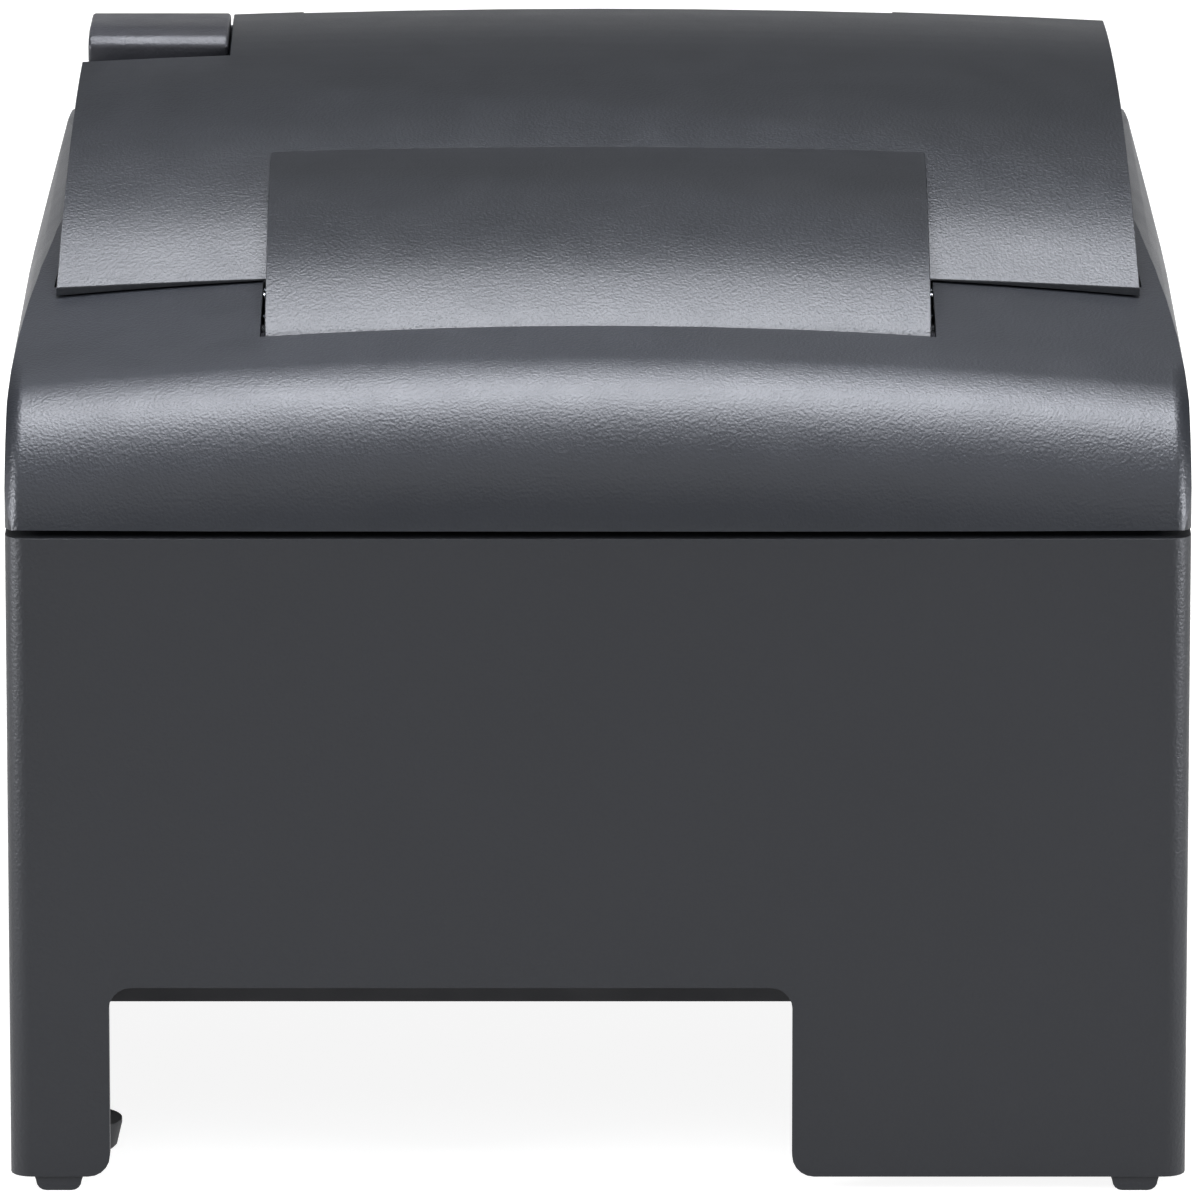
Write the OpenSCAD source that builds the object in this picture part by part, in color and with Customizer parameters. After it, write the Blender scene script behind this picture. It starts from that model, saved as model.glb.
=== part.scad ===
// Dot matrix receipt printer with a hinged roll cover and a hinged front cover.
// X runs across the printer, +Y from the cable side to the operator side, +Z up.
// The origin is on the table under the middle of the case.

/* [Case] */
// Width over the case
body_w = 160; // [158:1:172]
// Depth over the case
body_d = 248; // [246:1:262]
// Thickness of the moulded walls
wall = 2.5; // [2:0.1:3]
// Radius of the upright case corners
corner_r = 3; // [2:0.5:4]
// Height of the lower case's top edge
lower_top = 91.2; // [90:0.2:93]
// Gap between the lower and the upper case
seam_gap = 1; // [0.6:0.1:1.4]
// Gap between the table and the lower case
ground_gap = 2; // [1.6:0.1:2.4]
// Diameter of a rubber foot
foot_d = 11.6; // [9:0.2:12]

/* [Cable notch] */
// Width of the leg on the notch's left
left_leg_w = 13.6; // [13:0.2:20]
// Width of the leg on the notch's right
right_leg_w = 53.6; // [53:0.2:60]
// Height of the notch's top edge
notch_top = 28.6; // [24:0.2:32]
// Radius of the notch's corners
notch_r = 3; // [1:0.5:4]

/* [Upper case] */
// Height of the upper case at its peak
arch_top = 121; // [120:0.2:122]
// Side-view radius of the arch towards the cable side
arch_rear_r = 600; // [560:10:700]
// Side-view radius of the arch towards the operator side
arch_front_r = 420; // [400:10:460]
// Radius of the rounded top edge on the cable side
edge_r = 22; // [18:1:24]
// Radius of the rounded top edge on the operator side
front_edge_r = 14; // [10:1:15]
// Radius of the crown across the upper case
crown_r = 800; // [700:50:1200]
// Radius of the side shoulders
shoulder_r = 12; // [8:0.5:13]
// Slope of the side's crease down towards the operator side
crease_slope = 0.09; // [0.06:0.01:0.09]
// How far the side leans in above its crease, per unit of height
side_lean = 0.2; // [0.1:0.02:0.24]

/* [Roll cover] */
// Height of the ridge, the highest line of the printer
ridge_z = 138.5; // [138:0.1:139.5]
// Side-view radius of the roll cover
cover_r = 150; // [145:1:156]
// Radius of the crown across the roll cover
cover_crown_r = 1400; // [1200:50:2000]
// Width of the raised centre section
bump_w = 91; // [86:0.5:94]
// Gap around the covers
cover_gap = 0.6; // [0.4:0.1:0.8]

/* [Front cover] */
// Side-view radius of the front cover
front_cover_r = 230; // [220:2:240]
// Width of the upper case's rim beside the front cover
front_ear_w = 7.8; // [7.5:0.1:11]

/* [Paper] */
// Inside width of the roll bucket
bucket_w = 80; // [77:0.5:82]
// Inside radius of the roll bucket
bucket_r = 43; // [42:0.2:43.6]
// Width of the paper exit
exit_w = 84; // [80:1:88]

/* [Print mechanism] */
// Distance between the side frames
frame_gap = 116; // [112:1:118]
// Sheet thickness of the side frames
frame_t = 1.6; // [1.2:0.2:2]
// Diameter of the carriage shaft
shaft_d = 8; // [6:0.5:9]
// Diameter of the feed shaft
feed_shaft_d = 6; // [5:0.2:7]
// Radial clearance of a turning or sliding fit
run_gap = 0.06; // [0.03:0.01:0.09]
// Width of the carriage
carriage_w = 30; // [26:1:32]
// Diameter of the print head
head_d = 26; // [22:1:27]

/* [Feed gears] */
// Gear module
gear_m = 0.7; // [0.65:0.01:0.72]
// Teeth on the motor pinion
pinion_teeth = 18; // [16:1:20]
// Teeth on the idler gear
idler_teeth = 40; // [38:1:42]
// Teeth on the feed roller's gear
roller_teeth = 32; // [30:1:34]
// Width of the gears
gear_w = 4; // [3:0.5:5]

/* [Controls] */
// Width of the feed button
button_w = 13; // [10:0.5:14]
// Length of the feed button
button_l = 8; // [6:0.5:9]
// How far the feed button stands out
button_proud = 0.9; // [0.9:0.1:1.4]
// Gap between the open lever's tower and the paper guide
lever_clearance = 5.7; // [5.5:0.1:8]

/* [Hidden] */

fine = 96;
eps = 0.01;
fit_gap = 0.3;
half_w = body_w/2;
rear_y = -body_d/2;
front_y = body_d/2;
inner_x = half_w - wall;
notch_left = -half_w + left_leg_w;
notch_right = half_w - right_leg_w;

// Distance from the cable side turned into a Y place
function from_rear(t) = rear_y + t;
function arc_points(cx, cy, r, a0, a1, n) =
    [for (i = [0:n]) let (a = a0 + (a1 - a0)*i/n) [cx + r*cos(a), cy + r*sin(a)]];
function mirrored(points) = [for (i = [len(points) - 1:-1:0]) [-points[i][0], points[i][1]]];

// ---- upper case form ----
upper_low = lower_top + seam_gap;
peak_t = 120;
peak_y = from_rear(peak_t);
shoulder_z = arch_top - 14;
block_low = 60;
rear_cy = rear_y + edge_r;
front_cy = front_y - front_edge_r;
function edge_centre_z(r, edge, reach) = arch_top - r + sqrt(pow(r - edge, 2) - pow(reach, 2));
function arch_z(y) = y < peak_y
    ? arch_top - arch_rear_r + sqrt(pow(arch_rear_r, 2) - pow(y - peak_y, 2))
    : arch_top - arch_front_r + sqrt(pow(arch_front_r, 2) - pow(y - peak_y, 2));
function crown_drop(x, r) = r - sqrt(r*r - x*x);

// ---- roll cover form ----
ridge_y = from_rear(128);
cover_rear_y = from_rear(50.4);
cover_front_y = from_rear(130.4);
cover_half_rear = half_w - 5.4;
cover_half_front = half_w - 7.8;
skirt_z = 106;
bump_r = 85;
bump_cy = from_rear(80);
bump_cz = 44.4;
hinge_y = from_rear(37.5);
hinge_z = 110;
barrel_r = bump_r - norm([hinge_y - bump_cy, hinge_z - bump_cz]);
barrel_a = atan2(hinge_z - bump_cz, hinge_y - bump_cy);
hinge_pin_r = 1.5;
boss_r = 3.2;
hinge_gap = 2.2;
swing_r = 18;
cover_front_low = 120.5;
lid_ribs = [for (side = [-1, 1], in = [6.2, 16.2]) side*(cover_half_front - in)];

// ---- front cover form ----
front_cover_cy = from_rear(96);
front_cover_cz = 138.3 - front_cover_r;
front_cover_rear_y = from_rear(137.6);
front_cover_half = half_w - front_ear_w;
front_barrel_r = 6.5;
front_hinge_gap = 2.3;
front_hinge_a = 63;
front_hinge_y = front_cover_cy + (front_cover_r - front_barrel_r)*cos(front_hinge_a);
front_hinge_z = front_cover_cz + (front_cover_r - front_barrel_r)*sin(front_hinge_a);
front_skirt_z = 103;
front_boss_r = 2.7;

// ---- open lever ----
guide_half = 47;
pad_x = -half_w + 7.8;
pad_rear_y = from_rear(112);
pad_front_y = from_rear(131);
pad_low = 134;
lever_y = from_rear(121);
lever_z = 112;
lever_pin_r = 2;
tower_x0 = -half_w + 8.2;
tower_x1 = -guide_half - lever_clearance;
pad_w = tower_x1 + 0.3 - pad_x;
tower_top = 131.4;
tower_rear_y = from_rear(109);
lever_mid_x = (tower_x0 + tower_x1)/2;
lever_arm_w = 7;

// ---- cable bay and base ----
floor_z = 4;
floor_t = 2.5;
floor_top = floor_z + floor_t;
bay_left = notch_left - 3.6;
bay_right = notch_right + 2.1;
bay_wall = 2;
bay_top = 42;
bay_depth_y = from_rear(43.4);
bay_end_y = bay_depth_y + 1.8;
step_z = 18.2;
step_t = 1.8;
step_end_y = from_rear(86);
plate_t = 1;
main_board_y = from_rear(100);
foot_x = half_w - 2.9 - foot_d/2;
feet = [[-foot_x, from_rear(23)], [foot_x, from_rear(23)], [-foot_x, front_y - 22], [foot_x, front_y - 22]];
stem_r = 2.4;
case_posts = [[-half_w + 8.5, from_rear(100)], [half_w - 8.5, from_rear(100)],
    [-half_w + 8.5, front_y - 12], [half_w - 8.5, front_y - 12]];
post_top = 32;
screw_r = 1.4;

// ---- roll bucket ----
bucket_y = from_rear(77);
bucket_z = 76;
bucket_wall = 2;
bucket_out_r = bucket_r + bucket_wall;
bucket_half = bucket_w/2 + bucket_wall;
bucket_rear_top = 100;
bucket_front_top = 87;

// ---- print mechanism ----
frame_x = frame_gap/2;
frame_out_x = frame_x + frame_t;
frame_ear_z = 125;
chassis_z = 28;
chassis_t = 1.6;
chassis_top = chassis_z + chassis_t;
chassis_y0 = from_rear(108);
chassis_y1 = front_y - 34;
chassis_x = frame_out_x + 9.8;
chassis_post_x = frame_out_x + 6.4;
chassis_posts = [for (x = [-chassis_post_x, chassis_post_x], y = [chassis_y0 + 4, chassis_y1 - 6]) [x, y]];
feed_y = from_rear(136.6);
feed_z = 96;
feed_r = 5.2;
feed_roll_x0 = 8;
feed_roll_x1 = 30;
press_y = from_rear(126);
press_z = feed_z;
press_r = feed_y - press_y - feed_r - 0.4;
press_shaft_r = 2;
platen_front_y = from_rear(131.5);
tear_y = from_rear(135.2);
tear_t = 1;
tear_low = 116;
tear_top = 134;
tooth_pitch = 2;
shaft_y = from_rear(158);
shaft_z = 84;
shaft_r = shaft_d/2;
carriage_y0 = from_rear(148);
carriage_y1 = from_rear(170.6);
carriage_low = shaft_z - shaft_r - 2.5;
carriage_top = 94;
head_z = 110;
head_r = head_d/2;
cradle_half = head_r - 1.5;
nose_y = from_rear(133.9);
head_y0 = from_rear(146);
head_y1 = from_rear(158);
rail_y = from_rear(171.6);
rail_t = 1.5;
rail_low = 82;
rail_top = 91.5;
belt_z = 68;
belt_y = from_rear(177.5);
belt_w = 5;
belt_t = 0.9;
pulley_x = 44;
pulley_r = 5;
belt_in_r = pulley_r + 0.3;
belt_out_r = belt_in_r + belt_t;
bracket_y = from_rear(184.4);
bracket_t = 1.6;
ribbon_y = from_rear(132.5);
ribbon_t = 0.3;
cassette_y0 = from_rear(171);
cassette_y1 = from_rear(188);
cassette_low = 100;
cassette_top = 112;
cassette_half = frame_x - 0.5;
cassette_body_half = frame_out_x - 0.4;
knob_x = 38;
knob_y = from_rear(180);

// ---- feed gear train ----
gear_x = frame_out_x + 1.6;
pressure_a = 20;
backlash = 0.12;
idler_turn = 252;
pinion_turn = 311;
function pitch_r(teeth) = gear_m*teeth/2;
idler_y = feed_y + (pitch_r(roller_teeth) + pitch_r(idler_teeth))*cos(idler_turn);
idler_z = feed_z + (pitch_r(roller_teeth) + pitch_r(idler_teeth))*sin(idler_turn);
pinion_y = idler_y + (pitch_r(idler_teeth) + pitch_r(pinion_teeth))*cos(pinion_turn);
pinion_z = idler_z + (pitch_r(idler_teeth) + pitch_r(pinion_teeth))*sin(pinion_turn);
stud_r = 2.5;
motor_r = 12.5;
motor_shaft_r = 1.5;

// ---- controls ----
panel_x = half_w - 34;
panel_edge = 22;
panel_w = 44;
panel_l = 22;
panel_sheet = 1.2;
button_x = 9;
lens_r = 1.4;
board_drop = 9;
tact_h = 4.2;
button_travel = 0.8;
switch_x = -half_w + 28;
switch_z = 26;
switch_half_w = 11;
switch_half_h = 8;
bezel_t = 1.2;
rocker_w = 15;
rocker_h = 10;
rocker_tilt = 7;

// ================= shared forms =================

// Sweeps a side profile, drawn in Y and Z, round a far axis so that its top is crowned across X
module crown_sweep(radius, top) {
    half_angle = asin(half_w/(radius - 70)) + 0.6;
    translate([0, 0, top - radius]) rotate([90, 0, 0]) rotate([0, 0, 90 - half_angle])
        rotate_extrude(angle = 2*half_angle, $fn = 240)
            translate([radius - top, 0]) rotate(-90) children();
}

// Draws a Y-Z profile as a slab between two X places
module across(x0, x1) {
    translate([x0, 0, 0]) rotate([90, 0, 90]) linear_extrude(x1 - x0) children();
}

module rounded_plan(w, d, r) {
    hx = w/2 - r;
    hy = d/2 - r;
    polygon(concat(arc_points(hx, hy, r, 0, 90, 5), arc_points(-hx, hy, r, 90, 180, 5),
        arc_points(-hx, -hy, r, 180, 270, 5), arc_points(hx, -hy, r, 270, 360, 5)));
}

module plate_between(x0, x1, y0, y1, z0, z1) {
    translate([x0, y0, z0]) cube([x1 - x0, y1 - y0, z1 - z0]);
}

module rod_x(x0, x1, y, z, r) {
    translate([x0, y, z]) rotate([0, 90, 0]) cylinder(r = r, h = x1 - x0, $fn = fine);
}

module rod_y(x, y0, y1, z, r) {
    translate([x, y0, z]) rotate([-90, 0, 0]) cylinder(r = r, h = y1 - y0, $fn = fine);
}

// Side profile of the upper case, drawn in by inset
module arch_profile(inset) {
    rear_a = asin((peak_y - rear_cy)/(arch_rear_r - edge_r));
    front_a = asin((front_cy - peak_y)/(arch_front_r - front_edge_r));
    polygon(concat(
        [[rear_y + inset, block_low]],
        arc_points(rear_cy, edge_centre_z(arch_rear_r, edge_r, peak_y - rear_cy), edge_r - inset, 180, 90 + rear_a, 9),
        arc_points(peak_y, arch_top - arch_rear_r, arch_rear_r - inset, 90 + rear_a*0.9, 90, 9),
        arc_points(peak_y, arch_top - arch_front_r, arch_front_r - inset, 90 - front_a*0.1, 90 - front_a*0.9, 8),
        arc_points(front_cy, edge_centre_z(arch_front_r, front_edge_r, front_cy - peak_y), front_edge_r - inset,
            90 - front_a, 0, 7),
        [[front_y - inset, block_low]]));
}

// Front outline of the upper case with its side shoulders
module shoulder_outline(inset) {
    right = concat([[half_w - inset, block_low]],
        arc_points(half_w - shoulder_r, shoulder_z, shoulder_r - inset, 0, 80, 8),
        [[half_w - shoulder_r, shoulder_z + 20]]);
    polygon(concat(right, mirrored(right)));
}

// Leaning side above the crease, as a big block whose one face is that side
module leaning_side(side, inset) {
    deep = 2*body_d;
    turn = atan(side_lean*crease_slope);
    lean = atan(side_lean*cos(turn));
    mirror([side < 0 ? 1 : 0, 0, 0]) translate([half_w, from_rear(100), shoulder_z]) rotate([0, 0, turn]) rotate([0, -lean, 0])
        translate([-deep - inset, -deep, -deep]) cube([deep, 2*deep, 2*deep]);
}

module upper_form(inset, low) {
    intersection() {
        leaning_side(1, inset);
        leaning_side(-1, inset);
        crown_sweep(crown_r, arch_top) arch_profile(inset);
        rotate([90, 0, 0]) translate([0, 0, -front_y]) linear_extrude(body_d) shoulder_outline(inset);
        translate([0, 0, low]) linear_extrude(arch_top - low + 5)
            rounded_plan(body_w - 2*inset, body_d - 2*inset, corner_r - inset/2);
    }
}

// Plan of the roll cover, which narrows towards the front, grown by grow on its sides
module cover_plan(grow) {
    past = 20;
    taper = (cover_half_rear - cover_half_front)/(cover_front_y - cover_rear_y);
    right = [[cover_half_rear + past*taper + grow, cover_rear_y - past],
        [cover_half_front - past*taper + grow, cover_front_y + past]];
    polygon(concat(right, mirrored(right)));
}

module cover_form(inset, low) {
    r = cover_r - inset;
    cz = ridge_z - cover_r;
    y0 = cover_rear_y + inset;
    y1 = cover_front_y - inset;
    a0 = 90 + asin((ridge_y - y0)/r);
    a1 = 90 - asin((y1 - ridge_y)/r);
    intersection() {
        crown_sweep(cover_crown_r, ridge_z)
            polygon(concat([[y0, low]], arc_points(ridge_y, cz, r, a0, a1, 12), [[y1, low]]));
        translate([0, 0, low - 5]) linear_extrude(ridge_z) cover_plan(-inset);
    }
}

module bump_form(inset, low) {
    half = bump_w/2 - inset;
    end_y = from_rear(88);
    r = bump_r - inset;
    end_a = acos((end_y - bump_cy)/r);
    intersection() {
        crown_sweep(cover_crown_r, ridge_z)
            polygon(concat([[hinge_y - barrel_r + inset, low]],
                arc_points(hinge_y, hinge_z, barrel_r - inset, 180, barrel_a, 5),
                arc_points(bump_cy, bump_cz, r, barrel_a - 4, end_a, 10), [[end_y, low]]));
        plate_between(-half, half, rear_y, front_y, low - 5, ridge_z + 5);
    }
}

module front_cover_profile(inset, low) {
    r = front_cover_r - inset;
    y0 = front_cover_rear_y + inset;
    a0 = acos((y0 - front_cover_cy)/r);
    polygon(concat([[y0, low]], arc_points(front_cover_cy, front_cover_cz, r, a0, front_hinge_a + 1, 10),
        arc_points(front_hinge_y, front_hinge_z, front_barrel_r - inset, front_hinge_a, 0, 6),
        [[front_hinge_y + front_barrel_r - inset, low]]));
}

// ================= lower case and base =================

module notch_outline() {
    low = ground_gap - 1;
    foot = ground_gap + notch_r;
    polygon(concat([[notch_left - notch_r, low]],
        arc_points(notch_left - notch_r, foot, notch_r, -90, 0, 5),
        arc_points(notch_left + notch_r, notch_top - notch_r, notch_r, 180, 90, 5),
        arc_points(notch_right - notch_r, notch_top - notch_r, notch_r, 90, 0, 5),
        arc_points(notch_right + notch_r, foot, notch_r, 180, 270, 5),
        [[notch_right + notch_r, low]]));
}

// Stub under a rear corner, rounded where it meets the table
module rear_stub(x) {
    half = 3.1;
    r = 1.4;
    translate([x, rear_y + wall, 0]) rotate([90, 0, 0]) linear_extrude(wall - 0.4)
        polygon(concat(arc_points(-half + r, r, r, 180, 270, 4), arc_points(half - r, r, r, 270, 360, 4),
            [[half + 0.2, ground_gap + eps], [-half - 0.2, ground_gap + eps]]));
}

module lower_case() {
    tongue_low = lower_top - 7;
    tongue_top = lower_top + 3.2;
    color([0.25, 0.25, 0.27]) {
        difference() {
            union() {
                translate([0, 0, ground_gap]) linear_extrude(lower_top - ground_gap)
                    rounded_plan(body_w, body_d, corner_r);
                translate([0, 0, tongue_low]) linear_extrude(tongue_top - tongue_low)
                    rounded_plan(body_w - 2*wall - 0.8, body_d - 2*wall - 6, corner_r/2);
            }
            translate([0, 0, ground_gap - 1]) linear_extrude(tongue_low - ground_gap + 1 + eps)
                rounded_plan(body_w - 2*wall, body_d - 2*wall, corner_r/2);
            translate([0, 0, tongue_low]) linear_extrude(20)
                rounded_plan(body_w - 2*wall - 3, body_d - 2*wall - 9, corner_r/2);
            translate([0, rear_y + wall + 1, 0]) rotate([90, 0, 0]) linear_extrude(wall + 2) notch_outline();
            plate_between(switch_x - switch_half_w, switch_x + switch_half_w, front_y - wall - 1, front_y + 1,
                switch_z - switch_half_h, switch_z + switch_half_h);
            plate_between(switch_x - switch_half_w - 2, switch_x + switch_half_w + 2, front_y - bezel_t, front_y + 1,
                switch_z - switch_half_h - 2, switch_z + switch_half_h + 2);
        }
        for (x = [-half_w + 6.6, half_w - 6.9]) rear_stub(x);
        for (p = case_posts) difference() {
            union() {
                translate([p[0], p[1], floor_top]) cylinder(r = 3.6, h = post_top - floor_top, $fn = fine);
                plate_between(min(p[0], sign(p[0])*(inner_x + 0.5)), max(p[0], sign(p[0])*(inner_x + 0.5)),
                    p[1] - 1, p[1] + 1, floor_top, post_top);
            }
            translate([p[0], p[1], floor_top - 1]) cylinder(r = screw_r, h = post_top - floor_top - 1, $fn = fine);
        }
        for (side = [-1, 1], i = [0:4]) {
            rib_y = from_rear(56 + 36*i);
            plate_between(min(side*(inner_x - 1.6), side*(inner_x + eps)),
                max(side*(inner_x - 1.6), side*(inner_x + eps)), rib_y - 0.75, rib_y + 0.75, 36, lower_top - 12);
        }
    }
}

module base_plate() {
    inset = wall + 0.3;
    bay_y0 = rear_y + inset;
    color([0.16, 0.16, 0.17]) difference() {
        union() {
            difference() {
                translate([0, 0, floor_z]) linear_extrude(floor_t)
                    rounded_plan(body_w - 2*inset, body_d - 2*inset, corner_r/2);
                plate_between(bay_left, bay_right, rear_y, step_end_y - bay_wall, floor_z - 1, floor_top + 1);
            }
            for (x = [bay_left - bay_wall, bay_right]) {
                plate_between(x, x + bay_wall, bay_y0, step_end_y, floor_z, step_z + step_t);
                plate_between(x, x + bay_wall, bay_y0, bay_end_y, floor_z, bay_top + bay_wall);
            }
            plate_between(bay_left - bay_wall, bay_right + bay_wall, bay_y0, bay_end_y, bay_top, bay_top + bay_wall);
            plate_between(bay_left, bay_right, bay_depth_y, step_end_y, step_z, step_z + step_t);
            plate_between(bay_left, bay_right, step_end_y - bay_wall, step_end_y, floor_z, step_z + step_t);
            plate_between(bay_left, bay_right, bay_depth_y + plate_t, bay_end_y, bay_top - 4, bay_top);
            for (f = feet) translate([f[0], f[1], floor_z]) cylinder(r = 3.5, h = floor_t, $fn = fine);
            for (p = chassis_posts) translate([p[0], p[1], floor_top - eps])
                cylinder(r = 3.5, h = chassis_z - floor_top + eps, $fn = fine);
            for (x = [-54, 54], y = [main_board_y + 6, front_y - 28]) translate([x, y, floor_top - eps])
                cylinder(r = 2.5, h = 4.5, $fn = fine);
            for (x = [bay_left + 12, bay_right - 12.5], y = [from_rear(60), from_rear(80)]) translate([x, y, step_z + step_t - eps])
                cylinder(r = 2, h = 4, $fn = fine);
        }
        for (f = feet) translate([f[0], f[1], floor_z - 1]) cylinder(r = stem_r, h = floor_t + 2, $fn = fine);
        for (p = case_posts) translate([p[0], p[1], floor_z - 1]) cylinder(r = screw_r + 0.1, h = floor_t + 2, $fn = fine);
        for (p = chassis_posts) translate([p[0], p[1], 12]) cylinder(r = screw_r, h = 30, $fn = fine);
    }
}

module rubber_feet() {
    color([0.1, 0.1, 0.1]) for (f = feet) translate([f[0], f[1], 0]) {
        rotate_extrude($fn = fine) polygon([[0, 0], [foot_d/2 - 1.1, 0], [foot_d/2 - 0.7, 0.4], [foot_d/2, 3.4],
            [foot_d/2, floor_z], [stem_r, floor_z], [stem_r, floor_top], [stem_r - 0.4, floor_top + 0.8], [0, floor_top + 0.8]]);
    }
}

module case_screws() {
    color([0.7, 0.7, 0.72]) for (p = case_posts) translate([p[0], p[1], 0]) {
        translate([0, 0, floor_z - 1.6]) cylinder(r = 2.8, h = 1.6, $fn = fine);
        translate([0, 0, floor_z - eps]) cylinder(r = screw_r, h = 20, $fn = fine);
    }
}

// ================= upper case =================

module mouth_cut() {
    grow = cover_gap;
    difference() {
        translate([0, 0, 98]) linear_extrude(60) intersection() {
            cover_plan(grow);
            translate([-half_w, cover_rear_y]) square([body_w, front_cover_rear_y - cover_rear_y]);
        }
        rod_x(-half_w, half_w, hinge_y, hinge_z, swing_r);
    }
    plate_between(-bump_w/2 - grow, bump_w/2 + grow, hinge_y, cover_rear_y + 8, 98, 140);
    rod_x(-bump_w/2 - grow, bump_w/2 + grow, hinge_y, hinge_z, barrel_r + hinge_gap);
    plate_between(-bump_w/2 - grow, bump_w/2 + grow, hinge_y - barrel_r - hinge_gap, hinge_y, 98, hinge_z);
}

module front_mouth_cut() {
    half = front_cover_half + cover_gap;
    plate_between(-half, half, front_cover_rear_y - 1, front_hinge_y, 98, 150);
    rod_x(-half, half, front_hinge_y, front_hinge_z, front_barrel_r + front_hinge_gap);
    plate_between(-half, half, front_hinge_y, front_hinge_y + front_barrel_r + front_hinge_gap, 98, front_hinge_z);
}

// Local frame on the top face beside the front edge: x across, y down the slope, z out of the face
module on_front_slope() {
    y = front_y - panel_edge;
    slope = asin((y - peak_y)/arch_front_r);
    translate([0, 0, arch_top - crown_r]) rotate([0, asin(panel_x/crown_r), 0])
        translate([0, y, crown_r - arch_top + arch_z(y)]) rotate([-slope, 0, 0]) children();
}

module upper_case() {
    color([0.26, 0.26, 0.28]) difference() {
        union() {
            difference() {
                upper_form(0, upper_low);
                upper_form(wall, block_low + 5);
                mouth_cut();
                front_mouth_cut();
            }
            intersection() {
                upper_form(0.4, upper_low);
                union() {
                    for (side = [-1, 1]) {
                        x0 = side > 0 ? bump_w/2 + 1.2 : -bump_w/2 - 6.2;
                        rod_x(x0, x0 + 5, hinge_y, hinge_z, boss_r);
                        plate_between(x0, x0 + 5, hinge_y - boss_r, hinge_y + boss_r, hinge_z, hinge_z + 8);
                        x1 = side > 0 ? front_cover_half + cover_gap : -half_w + 1;
                        x2 = side > 0 ? half_w - 1 : -front_cover_half - cover_gap;
                        rod_x(x1, x2, front_hinge_y, front_hinge_z, front_boss_r);
                        plate_between(x1, x2, front_hinge_y - front_boss_r, front_hinge_y + front_boss_r,
                            front_hinge_z, front_hinge_z + 8);
                    }
                    for (side = [-1, 1], i = [0:3]) plate_between(min(side*(inner_x - 1.4), side*(inner_x + 1)),
                        max(side*(inner_x - 1.4), side*(inner_x + 1)), from_rear(60 + 42*i), from_rear(61.5 + 42*i),
                        lower_top + 5, 108);
                }
            }
            lever_tower();
            intersection() {
                upper_form(0.4, upper_low);
                on_front_slope() for (x = [-panel_w/2 + 5, panel_w/2 - 5])
                    translate([x, 7, -board_drop]) cylinder(r = 2.5, h = board_drop, $fn = fine);
            }
        }
        for (side = [-1, 1]) rod_x(side > 0 ? 0 : -bump_w/2 - 5.4, side > 0 ? bump_w/2 + 5.4 : 0,
            hinge_y, hinge_z, hinge_pin_r + run_gap);
        for (side = [-1, 1]) rod_x(side > 0 ? 0 : -front_cover_half - 4, side > 0 ? front_cover_half + 4 : 0,
            front_hinge_y, front_hinge_z, hinge_pin_r + run_gap);
        on_front_slope() {
            translate([0, 0, -panel_sheet]) linear_extrude(10) rounded_plan(panel_w + 0.4, panel_l + 0.4, 2);
            translate([button_x, 0, -8]) linear_extrude(10) rounded_plan(button_w + 2.2, button_l + 2.2, 1);
            for (i = [0:2]) translate([-16 + 7*i, 0, -8]) cylinder(r = lens_r + 0.15, h = 10, $fn = fine);
        }
    }
}

// Housing of the open lever, standing on the left ear of the upper case
module lever_tower() {
    difference() {
        union() {
            plate_between(tower_x0, tower_x1, tower_rear_y, pad_front_y - 0.6, 104, tower_top);
            plate_between(-inner_x - 1, tower_x0 + 1, tower_rear_y, pad_front_y - 0.6, 104, 108);
        }
        plate_between(tower_x0 + 2, tower_x1 - 2, tower_rear_y + 2, pad_front_y - 2.6, 100, tower_top - 2);
        plate_between(lever_mid_x - lever_arm_w/2 - 0.5, lever_mid_x + lever_arm_w/2 + 0.5,
            lever_y - 4.2, lever_y + 7.4, 100, tower_top + 1);
        rod_x(tower_x0 - 1, tower_x1 + 1, lever_y, lever_z, lever_pin_r);
    }
}

// ================= roll cover and what it carries =================

module lever_notch() {
    plate_between(-half_w, tower_x1 + 0.7, tower_rear_y - 1.5, front_y, 90, 150);
}

// Space under the roll cover's rear edge, where it laps over the upper case and swings clear of it
module lap_cut() {
    r = arch_rear_r + fit_gap;
    cz = arch_top - arch_rear_r;
    a0 = 90 + asin((peak_y - cover_rear_y + 4)/r);
    a1 = 90 + asin((peak_y - cover_rear_y - 12)/r);
    low = skirt_z - 12;
    intersection() {
        rod_x(-half_w, half_w, hinge_y, hinge_z, swing_r + cover_gap);
        crown_sweep(crown_r, arch_top) polygon(concat([[cover_rear_y - 4, low]],
            arc_points(peak_y, cz, r, a0, a1, 3), [[cover_rear_y + 12, low]]));
    }
}

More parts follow.
